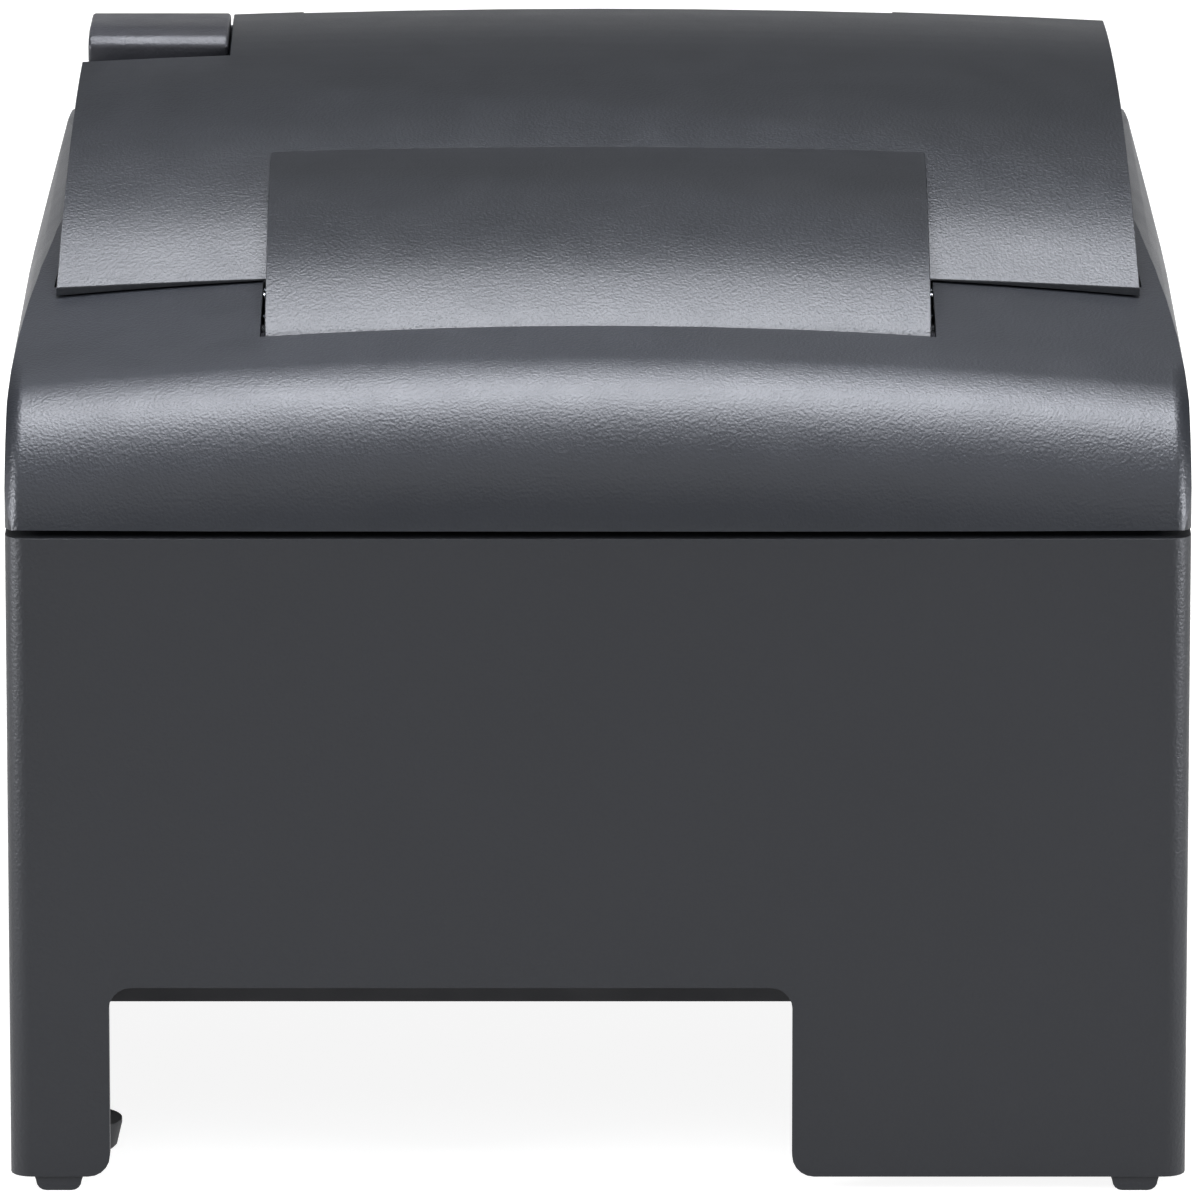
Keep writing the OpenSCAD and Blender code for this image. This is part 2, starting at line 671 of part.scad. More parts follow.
module roll_cover() {
    color([0.27, 0.27, 0.29]) difference() {
        union() {
            difference() {
                union() {
                    difference() {
                        cover_form(0, skirt_z);
                        lap_cut();
                    }
                    bump_form(0, skirt_z);
                }
                cover_form(wall, skirt_z - 10);
                bump_form(wall, skirt_z - 10);
            }
            for (side = [-1, 1]) rod_x(side > 0 ? bump_w/2 - 5 : -bump_w/2 + 1, side > 0 ? bump_w/2 - 1 : -bump_w/2 + 5,
                hinge_y, hinge_z, boss_r);
            intersection() {
                cover_form(wall - 0.4, skirt_z);
                for (x = lid_ribs) plate_between(x - 0.75, x + 0.75, cover_rear_y + 8, from_rear(104), 112, 140);
            }
            intersection() {
                cover_form(wall - 0.4, skirt_z);
                plate_between(tower_x1 + 0.7, tower_x1 + 2.7, tower_rear_y - 3.5, cover_front_y - 1, 118, 140);
            }
        }
        lever_notch();
        plate_between(-exit_w/2, exit_w/2, cover_front_y - 0.8, cover_front_y + 1, ridge_z - 8, ridge_z + 1);
        plate_between(-cover_half_front + wall, cover_half_front - wall, cover_front_y - wall - 0.5, cover_front_y + 1,
            skirt_z - 6, cover_front_low);
        for (side = [-1, 1]) rod_x(side > 0 ? bump_w/2 - 6 : -bump_w/2 - 1, side > 0 ? bump_w/2 + 1 : -bump_w/2 + 6,
            hinge_y, hinge_z, hinge_pin_r);
    }
}

module roll_cover_pins() {
    color([0.75, 0.76, 0.78]) for (side = [-1, 1])
        rod_x(side > 0 ? bump_w/2 - 5 : -bump_w/2 - 5.1, side > 0 ? bump_w/2 + 5.1 : -bump_w/2 + 5,
            hinge_y, hinge_z, hinge_pin_r);
}

module cover_paper_guide() {
    y0 = from_rear(124);
    color([0.12, 0.12, 0.13]) difference() {
        union() {
            intersection() {
                cover_form(wall, 80);
                union() {
                    plate_between(-guide_half, guide_half, y0, y0 + 2, 104, ridge_z);
                    for (x = [-36, -12, 12, 36]) plate_between(x - 0.75, x + 0.75, y0 - 6, y0 + 0.5, 118, ridge_z);
                }
            }
            plate_between(-guide_half, guide_half, y0, platen_front_y - 3, 117, 119);
            plate_between(-guide_half, guide_half, y0, platen_front_y - 3, 103, 105);
            for (x = [-guide_half, guide_half - 3]) plate_between(x, x + 3, press_y - 4, platen_front_y - 3, 91, 119);
        }
        rod_x(-guide_half - 1, guide_half + 1, press_y, press_z, press_shaft_r + run_gap);
    }
}

module platen() {
    color([0.72, 0.73, 0.75]) plate_between(-41, 41, platen_front_y - 3, platen_front_y, 104, 116);
}

module pressure_shaft() {
    color([0.75, 0.76, 0.78]) rod_x(-guide_half - 2, guide_half + 2, press_y, press_z, press_shaft_r);
}

module pressure_rubber() {
    color([0.2, 0.2, 0.2]) for (x = [-feed_roll_x1, feed_roll_x0]) difference() {
        rod_x(x, x + feed_roll_x1 - feed_roll_x0, press_y, press_z, press_r);
        rod_x(x - 1, x + feed_roll_x1, press_y, press_z, press_shaft_r);
    }
}

// ================= front cover =================

module front_cover() {
    color([0.27, 0.27, 0.29]) difference() {
        union() {
            difference() {
                across(-front_cover_half, front_cover_half) front_cover_profile(0, front_skirt_z);
                across(-front_cover_half + wall, front_cover_half - wall) front_cover_profile(wall, front_skirt_z - 8);
            }
            for (side = [-1, 1]) rod_x(side > 0 ? front_cover_half - 5 : -front_cover_half + 1,
                side > 0 ? front_cover_half - 1 : -front_cover_half + 5, front_hinge_y, front_hinge_z, boss_r);
        }
        plate_between(-front_cover_half + wall, front_cover_half - wall, front_cover_rear_y - 1,
            front_cover_rear_y + wall + 1, front_skirt_z - 1, frame_ear_z + 1.5);
        for (side = [-1, 1]) rod_x(side > 0 ? front_cover_half - 6 : -front_cover_half - 1,
            side > 0 ? front_cover_half + 1 : -front_cover_half + 6, front_hinge_y, front_hinge_z, hinge_pin_r);
    }
}

module front_cover_pins() {
    color([0.75, 0.76, 0.78]) for (side = [-1, 1])
        rod_x(side > 0 ? front_cover_half - 5 : -front_cover_half - 3.8, side > 0 ? front_cover_half + 3.8 : -front_cover_half + 5,
            front_hinge_y, front_hinge_z, hinge_pin_r);
}

// ================= open lever =================

module open_lever() {
    top = ridge_z - 0.3;
    color([0.25, 0.25, 0.27]) difference() {
        union() {
            across(pad_x, pad_x + pad_w) polygon([[pad_rear_y, pad_low], [pad_front_y, pad_low],
                [pad_front_y, top - 0.6], [pad_rear_y + 6, top], [pad_rear_y + 1.5, top - 0.5], [pad_rear_y, top - 1.6]]);
            plate_between(lever_mid_x - lever_arm_w/2, lever_mid_x + lever_arm_w/2, lever_y - 3, lever_y + 3.4,
                lever_z, pad_low + 1);
            rod_x(lever_mid_x - lever_arm_w/2, lever_mid_x + lever_arm_w/2, lever_y, lever_z, 4.2);
            plate_between(lever_mid_x - lever_arm_w/2, lever_mid_x + lever_arm_w/2, lever_y - 3, lever_y + 1.6,
                lever_z - 9, lever_z);
        }
        rod_x(lever_mid_x - 10, lever_mid_x + 10, lever_y, lever_z, lever_pin_r + run_gap);
    }
}

module lever_pin() {
    color([0.75, 0.76, 0.78]) rod_x(tower_x0, tower_x1, lever_y, lever_z, lever_pin_r);
}

// ================= roll bucket =================

module bucket_block(r, x) {
    rod_x(-x, x, bucket_y, bucket_z, r);
    plate_between(-x, x, bucket_y - r, bucket_y + r, bucket_z, bucket_rear_top + 10);
}

module roll_bucket() {
    color([0.13, 0.13, 0.14]) {
        difference() {
            bucket_block(bucket_out_r, bucket_half);
            bucket_block(bucket_r, bucket_w/2);
            plate_between(-half_w, half_w, bucket_y - 60, bucket_y + 60, bucket_rear_top, 130);
            plate_between(-half_w, half_w, bucket_y + 20, bucket_y + 60, bucket_front_top, 130);
            rod_x(-half_w, half_w, bucket_y, bucket_rear_top + 4, 24);
        }
        for (x = [-27, bay_right - 1.5]) difference() {
            plate_between(x - 1.5, x + 1.5, from_rear(36), from_rear(41), bay_top + bay_wall, 60);
            rod_x(x - 5, x + 5, bucket_y, bucket_z, bucket_out_r - 0.5);
        }
        for (x = [-36, 36]) difference() {
            plate_between(x - 1.5, x + 1.5, from_rear(92), from_rear(97), floor_top, 50);
            rod_x(x - 5, x + 5, bucket_y, bucket_z, bucket_out_r - 0.5);
        }
    }
}

// ================= connectors and boards =================

jack_y = bay_depth_y + plate_t;
board_z = step_z + step_t + 4;
board_t = 1.6;
board_top = board_z + board_t;
power_x = bay_left + 16;
drawer_x = bay_left + 38;
data_x = bay_left + 66;
jack_h = 10;
jack_deep = 11.6;

module connector_panel() {
    color([0.74, 0.75, 0.76]) difference() {
        plate_between(bay_left + 0.1, bay_right - 0.1, bay_depth_y, bay_depth_y + plate_t, step_z + step_t, bay_top);
        rod_y(power_x, rear_y, front_y, board_top + jack_h/2, 5.2);
        plate_between(drawer_x - 7, drawer_x + 7, rear_y, front_y, board_top - 0.2, board_top + jack_h - 0.2);
        plate_between(data_x - 6.4, data_x + 6.4, rear_y, front_y, board_top - 0.2, board_top + jack_h + 0.2);
        for (x = [bay_left + 4, bay_right - 4]) rod_y(x, rear_y, front_y, bay_top - 2.2, 1.2);
    }
}

module power_jack() {
    mid = board_top + jack_h/2;
    color([0.08, 0.08, 0.08]) {
        difference() {
            union() {
                plate_between(power_x - 6.5, power_x + 6.5, jack_y + 0.2, jack_y + jack_deep + 1, board_top, board_top + jack_h);
                rod_y(power_x, jack_y - 1.6, jack_y + 0.3, mid, 4.9);
            }
            rod_y(power_x, jack_y - 3, jack_y + 9, mid, 3.9);
        }
        for (a = [90, 210, 330]) rod_y(power_x + 2.2*cos(a), jack_y + 1, jack_y + 9 + eps, mid + 2.2*sin(a), 0.5);
    }
}

module drawer_jack() {
    color([0.08, 0.08, 0.08]) difference() {
        plate_between(drawer_x - 6.8, drawer_x + 6.8, jack_y - 1.2, jack_y + jack_deep, board_top, board_top + jack_h - 0.4);
        plate_between(drawer_x - 5.6, drawer_x + 5.6, jack_y - 3, jack_y + 10, board_top + 1.4, board_top + jack_h - 1.8);
    }
}

module data_connector() {
    color([0.78, 0.79, 0.8]) difference() {
        plate_between(data_x - 6, data_x + 6, jack_y - 1.2, jack_y + jack_deep, board_top, board_top + jack_h);
        difference() {
            plate_between(data_x - 4.3, data_x + 4.3, jack_y - 3, jack_y + 9, board_top + 1.1, board_top + jack_h - 1);
            plate_between(data_x - 2.8, data_x + 2.8, jack_y, jack_y + 10, board_top + 3.6, board_top + 6.6);
        }
    }
}

module interface_board() {
    color([0.1, 0.35, 0.2]) plate_between(bay_left + 2, bay_right - 2, jack_y, from_rear(84), board_z, board_top);
}

module panel_screws() {
    color([0.7, 0.7, 0.72]) for (x = [bay_left + 4, bay_right - 4]) {
        rod_y(x, bay_depth_y - 1.4, bay_depth_y, bay_top - 2.2, 2.2);
        rod_y(x, bay_depth_y - eps, bay_depth_y + plate_t, bay_top - 2.2, 1.1);
    }
}

module main_board() {
    color([0.1, 0.35, 0.2]) plate_between(-60, 60, main_board_y, front_y - 22, floor_top + 4.5, floor_top + 4.5 + board_t);
}

module board_components() {
    top = floor_top + 4.5 + board_t;
    color([0.1, 0.1, 0.11]) {
        translate([-14, from_rear(150), top]) cube([22, 22, 1.8]);
        translate([20, from_rear(152), top]) cube([12, 18, 1.6]);
        translate([-44, from_rear(128), top]) cube([14, 9, 2.2]);
        translate([34, from_rear(118), top]) cube([16, 8, 7]);
    }
    color([0.2, 0.22, 0.3]) for (i = [0:2]) translate([-46 + 13*i, from_rear(104), top]) cylinder(r = 5, h = 11.5, $fn = fine);
}

// ================= frames =================

module frame_outline() {
    seat_z = cassette_low - fit_gap;
    polygon([[from_rear(110), chassis_top], [chassis_y1 - 2, chassis_top], [chassis_y1 - 2, 86],
        [cassette_y1 + 1.5, 90], [cassette_y1 + 1.5, seat_z], [from_rear(152), seat_z],
        [from_rear(138), frame_ear_z], [from_rear(133), frame_ear_z],
        [from_rear(133), 102], [from_rear(124), 101], [from_rear(110), 92]]);
}

module side_frame(x0) {
    color([0.72, 0.73, 0.75]) difference() {
        across(x0, x0 + frame_t) frame_outline();
        rod_x(x0 - 1, x0 + frame_t + 1, feed_y, feed_z, feed_shaft_d/2 + 1.5);
        rod_x(x0 - 1, x0 + frame_t + 1, shaft_y, shaft_z, shaft_r);
        across(x0 - 1, x0 + frame_t + 1) polygon(arc_points(from_rear(170), 54, 12, 0, 330, 11));
        children();
    }
}

module side_frame_left() {
    side_frame(-frame_out_x) across(-frame_out_x - 1, -frame_x + 1)
        polygon(arc_points(from_rear(130), 62, 13, 0, 330, 11));
}

module side_frame_right() {
    side_frame(frame_x) rod_x(frame_x - 1, frame_out_x + 1, pinion_y, pinion_z, 4);
    color([0.75, 0.76, 0.78]) rod_x(frame_out_x - eps, gear_x + gear_w + 1, idler_y, idler_z, stud_r);
}

module chassis_plate() {
    color([0.7, 0.71, 0.73]) {
        difference() {
            plate_between(-chassis_x, chassis_x, chassis_y0, chassis_y1, chassis_z, chassis_top);
            for (p = chassis_posts) translate([p[0], p[1], chassis_z - 1]) cylinder(r = screw_r + 0.1, h = 5, $fn = fine);
            plate_between(-20, 20, from_rear(120), from_rear(150), chassis_z - 1, chassis_top + 1);
        }
        for (side = [-1, 1]) difference() {
            plate_between(side > 0 ? pulley_x - 8 : -frame_x + 0.2, side > 0 ? frame_x - 0.2 : -pulley_x + 15,
                bracket_y, bracket_y + bracket_t, chassis_top - eps, belt_z + 12);
            rod_y(side*pulley_x, bracket_y - 1, bracket_y + 3, belt_z, side > 0 ? 2 : 3.5);
        }
    }
    color([0.75, 0.76, 0.78]) rod_y(pulley_x, belt_y - 2.6, bracket_y + bracket_t, belt_z, 2);
}

module frame_screws() {
    color([0.7, 0.7, 0.72]) for (p = chassis_posts) translate([p[0], p[1], 0]) {
        translate([0, 0, chassis_top]) cylinder(r = 2.8, h = 2, $fn = fine);
        translate([0, 0, 14]) cylinder(r = screw_r, h = chassis_top - 14 + eps, $fn = fine);
    }
}

// Serrated blade that the paper is torn against
module tear_bar() {
    half = exit_w/2;
    teeth = floor(exit_w/tooth_pitch);
    color([0.76, 0.77, 0.79]) translate([0, tear_y + tear_t, 0]) rotate([90, 0, 0]) linear_extrude(tear_t)
        polygon(concat([[-frame_x, tear_low], [frame_x, tear_low], [frame_x, frame_ear_z], [half, frame_ear_z], [half, tear_top - 1]],
            [for (i = [0:2*teeth]) [half - i*tooth_pitch/2, i % 2 == 0 ? tear_top - 1 : tear_top]],
            [[-half, frame_ear_z], [-frame_x, frame_ear_z]]));
}

// ================= paper feed =================

module feed_shaft() {
    color([0.75, 0.76, 0.78]) rod_x(-frame_out_x - 2, gear_x + gear_w + 1.5, feed_y, feed_z, feed_shaft_d/2);
}

module feed_rubber() {
    color([0.15, 0.15, 0.15]) for (x = [-feed_roll_x1, feed_roll_x0]) difference() {
        rod_x(x, x + feed_roll_x1 - feed_roll_x0, feed_y, feed_z, feed_r);
        rod_x(x - 1, x + feed_roll_x1, feed_y, feed_z, feed_shaft_d/2);
    }
}

module feed_bushes() {
    color([0.85, 0.84, 0.8]) for (side = [-1, 1]) {
        x0 = side > 0 ? frame_x - 1.2 : -frame_out_x;
        difference() {
            union() {
                rod_x(x0, x0 + frame_t + 1.2, feed_y, feed_z, feed_shaft_d/2 + 1.5);
                rod_x(side > 0 ? frame_x - 1.2 : -frame_x, side > 0 ? frame_x : -frame_x + 1.2, feed_y, feed_z, feed_shaft_d/2 + 2.6);
            }
            rod_x(x0 - 1, x0 + frame_t + 3, feed_y, feed_z, feed_shaft_d/2 + run_gap);
        }
    }
}

// Angle of an involute at radius r, for a base circle of radius rb
function involute(rb, r) = let (a = acos(min(1, rb/r))) tan(a)*180/PI - a;

// Outline of a gear whose first tooth is centred on angle 0
function gear_outline(teeth) =
    let (rp = pitch_r(teeth), rb = rp*cos(pressure_a), ra = rp + gear_m*0.95, rf = rp - 1.2*gear_m,
        half_pitch = 90/teeth - backlash/2/rp*180/PI + involute(rb, rp),
        start = max(rb, rf + 0.05), steps = 3)
    [for (i = [0:teeth - 1]) let (c = i*360/teeth) each concat(
        [let (a = c - half_pitch + involute(rb, start)) [rf*cos(a), rf*sin(a)]],
        [for (k = [0:steps]) let (r = start + (ra - start)*k/steps, a = c - half_pitch + involute(rb, r)) [r*cos(a), r*sin(a)]],
        [for (k = [steps:-1:0]) let (r = start + (ra - start)*k/steps, a = c + half_pitch - involute(rb, r)) [r*cos(a), r*sin(a)]],
        [let (a = c + half_pitch - involute(rb, start)) [rf*cos(a), rf*sin(a)]])];

module gear(teeth, y, z, turn, bore_r) {
    translate([gear_x, y, z]) rotate([90, 0, 90]) difference() {
        linear_extrude(gear_w) rotate(turn) polygon(gear_outline(teeth));
        translate([0, 0, -1]) cylinder(r = bore_r, h = gear_w + 2, $fn = fine);
    }
}

// Turn of a gear that stands in direction a from its driver, so that their teeth mesh
function meshed(a, driver_teeth, driver_turn, teeth) =
    a + 180 + (a - driver_turn)*driver_teeth/teeth + 180/teeth;

idler_phase = 0;
roller_phase = meshed(idler_turn + 180, idler_teeth, idler_phase, roller_teeth);
pinion_phase = meshed(pinion_turn, idler_teeth, idler_phase, pinion_teeth);

module feed_gear() {
    color([0.88, 0.87, 0.83]) gear(roller_teeth, feed_y, feed_z, roller_phase, feed_shaft_d/2);
}

module idler_gear() {
    color([0.88, 0.87, 0.83]) gear(idler_teeth, idler_y, idler_z, idler_phase, stud_r + run_gap);
}

module motor_pinion() {
    color([0.8, 0.66, 0.35]) gear(pinion_teeth, pinion_y, pinion_z, pinion_phase, motor_shaft_r - eps);
    color([0.75, 0.76, 0.78]) rod_x(frame_x - 8, gear_x + gear_w + 1, pinion_y, pinion_z, motor_shaft_r);
}

module feed_motor() {
    color([0.6, 0.61, 0.63]) difference() {
        union() {
            rod_x(frame_x - 20, frame_x, pinion_y, pinion_z, motor_r);
            plate_between(frame_x - 1, frame_x, pinion_y - 18, pinion_y + 18, pinion_z - 5, pinion_z + 5);
        }
        rod_x(frame_x - 9, frame_x + 1, pinion_y, pinion_z, motor_shaft_r + run_gap);
    }
}

// ================= carriage drive =================

module carriage_shaft() {
    color([0.78, 0.79, 0.8]) rod_x(-frame_out_x - 2, frame_out_x + 0.8, shaft_y, shaft_z, shaft_r);
}

module carriage_rail() {
    color([0.74, 0.75, 0.76]) {
        plate_between(-frame_x, frame_x, rail_y, rail_y + rail_t, rail_low, rail_top);
        for (x = [-frame_x, frame_x - 1.5]) plate_between(x, x + 1.5, rail_y, rail_y + 10, rail_low, rail_top - 1);
    }
}

module carriage() {
    half = carriage_w/2;
    color([0.15, 0.15, 0.16]) difference() {
        union() {
            plate_between(-half, half, carriage_y0, carriage_y1, carriage_low, carriage_top);
            plate_between(-cradle_half, cradle_half, head_y0 + 2, head_y1 - 1, carriage_top - eps, head_z - 6);
            plate_between(-4, 4, carriage_y1 - 5, belt_y - 0.6, belt_z + 1.4, carriage_low + 1);
            plate_between(-3.5, 3.5, belt_y - 0.7, belt_y + belt_w + 0.6, belt_z + belt_out_r + 0.4, belt_z + belt_out_r + 3.6);
            plate_between(-3.5, 3.5, belt_y - 0.7, belt_y + belt_w + 0.6, belt_z + 1.4, belt_z + belt_in_r - 0.4);
            plate_between(-8, 8, carriage_y1 - 3, rail_y + rail_t + 2, rail_top + 0.5, carriage_top);
            plate_between(-8, 8, rail_y + rail_t + 0.6, rail_y + rail_t + 2, rail_top - 5, carriage_top);
        }
        rod_y(0, head_y0 - 1, head_y1 + 1, head_z, head_r);
        rod_x(-half - 1, half + 1, shaft_y, shaft_z, shaft_r + run_gap);
        plate_between(-half + 4, half - 4, head_y0 - 1, shaft_y - shaft_r - 2.5, carriage_low - 1, carriage_top - 2);
    }
}

module print_head() {
    color([0.2, 0.2, 0.21]) {
        across(-6, 6) polygon([[nose_y, head_z - 2.5], [head_y0 + eps, head_z - 8], [head_y0 + eps, head_z + 8],
            [nose_y, head_z + 2.5]]);
        rod_y(0, head_y0, head_y1, head_z, head_r);
    }
}

module head_heatsink() {
    color([0.5, 0.51, 0.53]) {
        rod_y(0, head_y1, head_y1 + 10, head_z, 8);
        for (i = [0:4]) rod_y(0, head_y1 + 0.4 + 2*i, head_y1 + 1.4 + 2*i, head_z, head_r - 1);
    }
}

module belt_loop(r, past) {
    translate([0, belt_y + belt_w + past, belt_z]) rotate([90, 0, 0]) linear_extrude(belt_w + 2*past)
        polygon(concat(arc_points(pulley_x, 0, r, -90, 90, 16), arc_points(-pulley_x, 0, r, 90, 270, 16)));
}

module timing_belt() {
    color([0.07, 0.07, 0.07]) difference() {
        belt_loop(belt_out_r, 0);
        belt_loop(belt_in_r, 1);
    }
}

module pulley(x) {
    rod_y(x, belt_y - 0.4, belt_y + belt_w + 0.4, belt_z, pulley_r);
    for (y = [belt_y - 1.4, belt_y + belt_w + 0.4]) rod_y(x, y, y + 1, belt_z, belt_out_r + 0.6);
}

module motor_pulley() {
    color([0.8, 0.66, 0.35]) pulley(-pulley_x);
    color([0.75, 0.76, 0.78]) rod_y(-pulley_x, belt_y + belt_w, bracket_y + bracket_t + 8, belt_z, motor_shaft_r);
}

module idler_pulley() {
    color([0.88, 0.87, 0.83]) difference() {
        pulley(pulley_x);
        rod_y(pulley_x, belt_y - 3, bracket_y, belt_z, 2 + run_gap);
    }
}

module carriage_motor() {
    y0 = bracket_y + bracket_t;
    color([0.6, 0.61, 0.63]) difference() {
        rod_y(-pulley_x, y0, y0 + 20, belt_z, 13);
        rod_y(-pulley_x, y0 - 1, y0 + 9, belt_z, motor_shaft_r + run_gap);
    }
}

// ================= ribbon =================

module ribbon_cassette() {
    color([0.13, 0.13, 0.14]) difference() {
        union() {
            plate_between(-cassette_body_half, cassette_body_half, cassette_y0, cassette_y1, cassette_low, cassette_top);
            for (side = [-1, 1]) {
                x0 = side > 0 ? cassette_half - 5.5 : -cassette_half;
                plate_between(x0, x0 + 5.5, from_rear(137), cassette_y0 + 1, cassette_low + 2.4, cassette_top);
                x1 = side > 0 ? cassette_half - 4.5 : -cassette_half + 1;
                plate_between(x1, x1 + 3.5, ribbon_y + ribbon_t, from_rear(137) + 1, cassette_low + 3, cassette_top - 1);
            }
        }
        translate([knob_x, knob_y, cassette_low + 3]) cylinder(r = 2 + run_gap, h = 20, $fn = fine);
    }
}

module ink_ribbon() {
    half = cassette_half - 1.5;
    color([0.05, 0.05, 0.06]) plate_between(-half, half, ribbon_y, ribbon_y + ribbon_t, cassette_low + 4, cassette_top - 2);
}

module ribbon_knob() {
    color([0.2, 0.2, 0.22]) translate([knob_x, knob_y, 0]) {
        translate([0, 0, cassette_low + 3.2]) cylinder(r = 2, h = cassette_top - cassette_low - 2, $fn = fine);
        translate([0, 0, cassette_top + 0.3]) difference() {
            cylinder(r = 6.5, h = 3.5, $fn = fine);
            for (i = [0:11]) rotate(30*i) translate([7.2, 0, -1]) cylinder(r = 1.2, h = 8, $fn = 24);
        }
    }
}

// ================= controls =================

module control_panel() {
    color([0.33, 0.33, 0.35]) on_front_slope() difference() {
        translate([0, 0, -panel_sheet]) linear_extrude(panel_sheet - 0.1) rounded_plan(panel_w, panel_l, 2);
        translate([button_x, 0, -3]) linear_extrude(5) rounded_plan(button_w + 0.6, button_l + 0.6, 1);
        for (i = [0:2]) translate([-16 + 7*i, 0, -3]) cylinder(r = lens_r + 0.05, h = 5, $fn = fine);
    }
}

module panel_board() {
    color([0.1, 0.35, 0.2]) on_front_slope() translate([0, 0, -board_drop - 1.2]) {
        linear_extrude(1.2) rounded_plan(panel_w - 4, panel_l - 2, 1);
        translate([button_x - 3, -3, 1.2 - eps]) cube([6, 6, tact_h + eps]);
    }
}

module status_lenses() {
    color([0.3, 0.75, 0.3]) on_front_slope() for (i = [0:2]) translate([-16 + 7*i, 0, -board_drop])
        cylinder(r = lens_r, h = board_drop + 0.1, $fn = fine);
}

module feed_button() {
    flange = panel_sheet + fit_gap;
    color([0.3, 0.3, 0.32]) on_front_slope() translate([button_x, 0, 0]) {
        translate([0, 0, -flange]) linear_extrude(flange + button_proud) rounded_plan(button_w, button_l, 1);
        translate([0, 0, -flange - 1.2]) linear_extrude(1.2 + eps) rounded_plan(button_w + 1.6, button_l + 1.6, 1);
        translate([0, 0, -board_drop + tact_h + button_travel]) cylinder(r = 2, h = 3, $fn = fine);
    }
}

module power_switch_body() {
    color([0.09, 0.09, 0.09]) difference() {
        union() {
            plate_between(switch_x - switch_half_w + 0.2, switch_x + switch_half_w - 0.2, front_y - 20, front_y - 0.2,
                switch_z - switch_half_h + 0.2, switch_z + switch_half_h - 0.2);
            plate_between(switch_x - switch_half_w - 1.8, switch_x + switch_half_w + 1.8, front_y - bezel_t, front_y - 0.2,
                switch_z - switch_half_h - 1.8, switch_z + switch_half_h + 1.8);
        }
        plate_between(switch_x - rocker_w/2 - 0.4, switch_x + rocker_w/2 + 0.4, front_y - 10, front_y + 5,
            switch_z - rocker_h/2 - 1, switch_z + rocker_h/2 + 1);
        rod_x(switch_x - rocker_w/2 - 1.6, switch_x + rocker_w/2 + 1.6, front_y - 5, switch_z, 1 + run_gap);
    }
}

module power_rocker() {
    color([0.12, 0.12, 0.12]) {
        translate([0, front_y - 5, switch_z]) rotate([rocker_tilt, 0, 0]) {
            across(switch_x - rocker_w/2, switch_x + rocker_w/2) polygon([[-2.4, -rocker_h/2 + 0.6], [3.6, -rocker_h/2],
                [2.9, 0], [3.6, rocker_h/2], [-2.4, rocker_h/2 - 0.6]]);
        }
        rod_x(switch_x - rocker_w/2 - 1.4, switch_x + rocker_w/2 + 1.4, front_y - 5, switch_z, 1);
    }
}

lower_case();
base_plate();
rubber_feet();
upper_case();
roll_cover();
roll_cover_pins();
cover_paper_guide();
platen();
pressure_shaft();
pressure_rubber();
front_cover();
front_cover_pins();
open_lever();
lever_pin();
roll_bucket();
connector_panel();
power_jack();
drawer_jack();
data_connector();
interface_board();
main_board();
board_components();
side_frame_left();
side_frame_right();
chassis_plate();
tear_bar();
feed_shaft();
feed_rubber();
feed_bushes();
feed_gear();
idler_gear();
motor_pinion();
feed_motor();
carriage_shaft();
carriage_rail();
carriage();
print_head();
head_heatsink();
timing_belt();
motor_pulley();
idler_pulley();
carriage_motor();
ribbon_cassette();
ink_ribbon();
ribbon_knob();
control_panel();
panel_board();
status_lenses();
feed_button();
power_switch_body();
power_rocker();
case_screws();
frame_screws();
panel_screws();
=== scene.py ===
"""Looks of a dot matrix receipt printer with a hinged roll cover and a hinged front cover.

Everything is in metres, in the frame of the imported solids: X runs across the printer, +Y from the
cable side to the operator side, and +Z up from the table.
"""

import logging
import math
from collections.abc import Callable, Iterable
from dataclasses import dataclass
from enum import Enum

import bmesh
import bpy
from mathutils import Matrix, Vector

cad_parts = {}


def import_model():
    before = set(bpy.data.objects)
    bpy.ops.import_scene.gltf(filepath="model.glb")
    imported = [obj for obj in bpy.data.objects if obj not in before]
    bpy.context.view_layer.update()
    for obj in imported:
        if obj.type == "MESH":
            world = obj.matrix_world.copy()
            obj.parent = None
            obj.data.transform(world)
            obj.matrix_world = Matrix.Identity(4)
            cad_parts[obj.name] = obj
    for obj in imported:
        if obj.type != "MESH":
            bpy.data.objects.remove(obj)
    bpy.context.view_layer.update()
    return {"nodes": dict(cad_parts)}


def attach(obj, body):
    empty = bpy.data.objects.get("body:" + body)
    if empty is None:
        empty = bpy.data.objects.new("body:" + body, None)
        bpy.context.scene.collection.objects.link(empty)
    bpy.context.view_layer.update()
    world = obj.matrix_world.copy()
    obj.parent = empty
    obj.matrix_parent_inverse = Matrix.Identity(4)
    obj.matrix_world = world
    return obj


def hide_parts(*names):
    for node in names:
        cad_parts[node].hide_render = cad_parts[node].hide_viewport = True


LOG = logging.getLogger("printer")
MM = 0.001

# Repeats per metre of a plain skin's relief, a colour's speckle, and the patches left by handling.
SKIN_SCALE, SPECKLE_SCALE, HANDLING_SCALE = 900.0, 2600.0, 140.0
# Divides a wave pattern's repeats to give its scale. The waves then lie about twice as far apart as asked.
WAVE_SCALE = 6.283

# How near in metres two points are welded, and how near to a cut a point counts as on it.
WELD, CUT = 2e-6, 1e-6
# Angles between faces in degrees: up to the first they are one flat face, over the second their edge may
# be rounded, and up to the third they are shaded as one.
FLAT, SHARP, SMOOTH = 0.2, 24.0, 26.0
# Cosine of about 16 degrees, within which a corner takes the direction of the skin or wall beside it.
JOINED = 0.962
# Margins in millimetres: at the ends of a skin, and for an edge that lies level.
MARGIN, LEVEL = 0.01, 0.02
# Millimetres from the middle past which a point lies on the case's side walls, front or rear.
WALL_X, WALL_Y = 76.9, 120.9
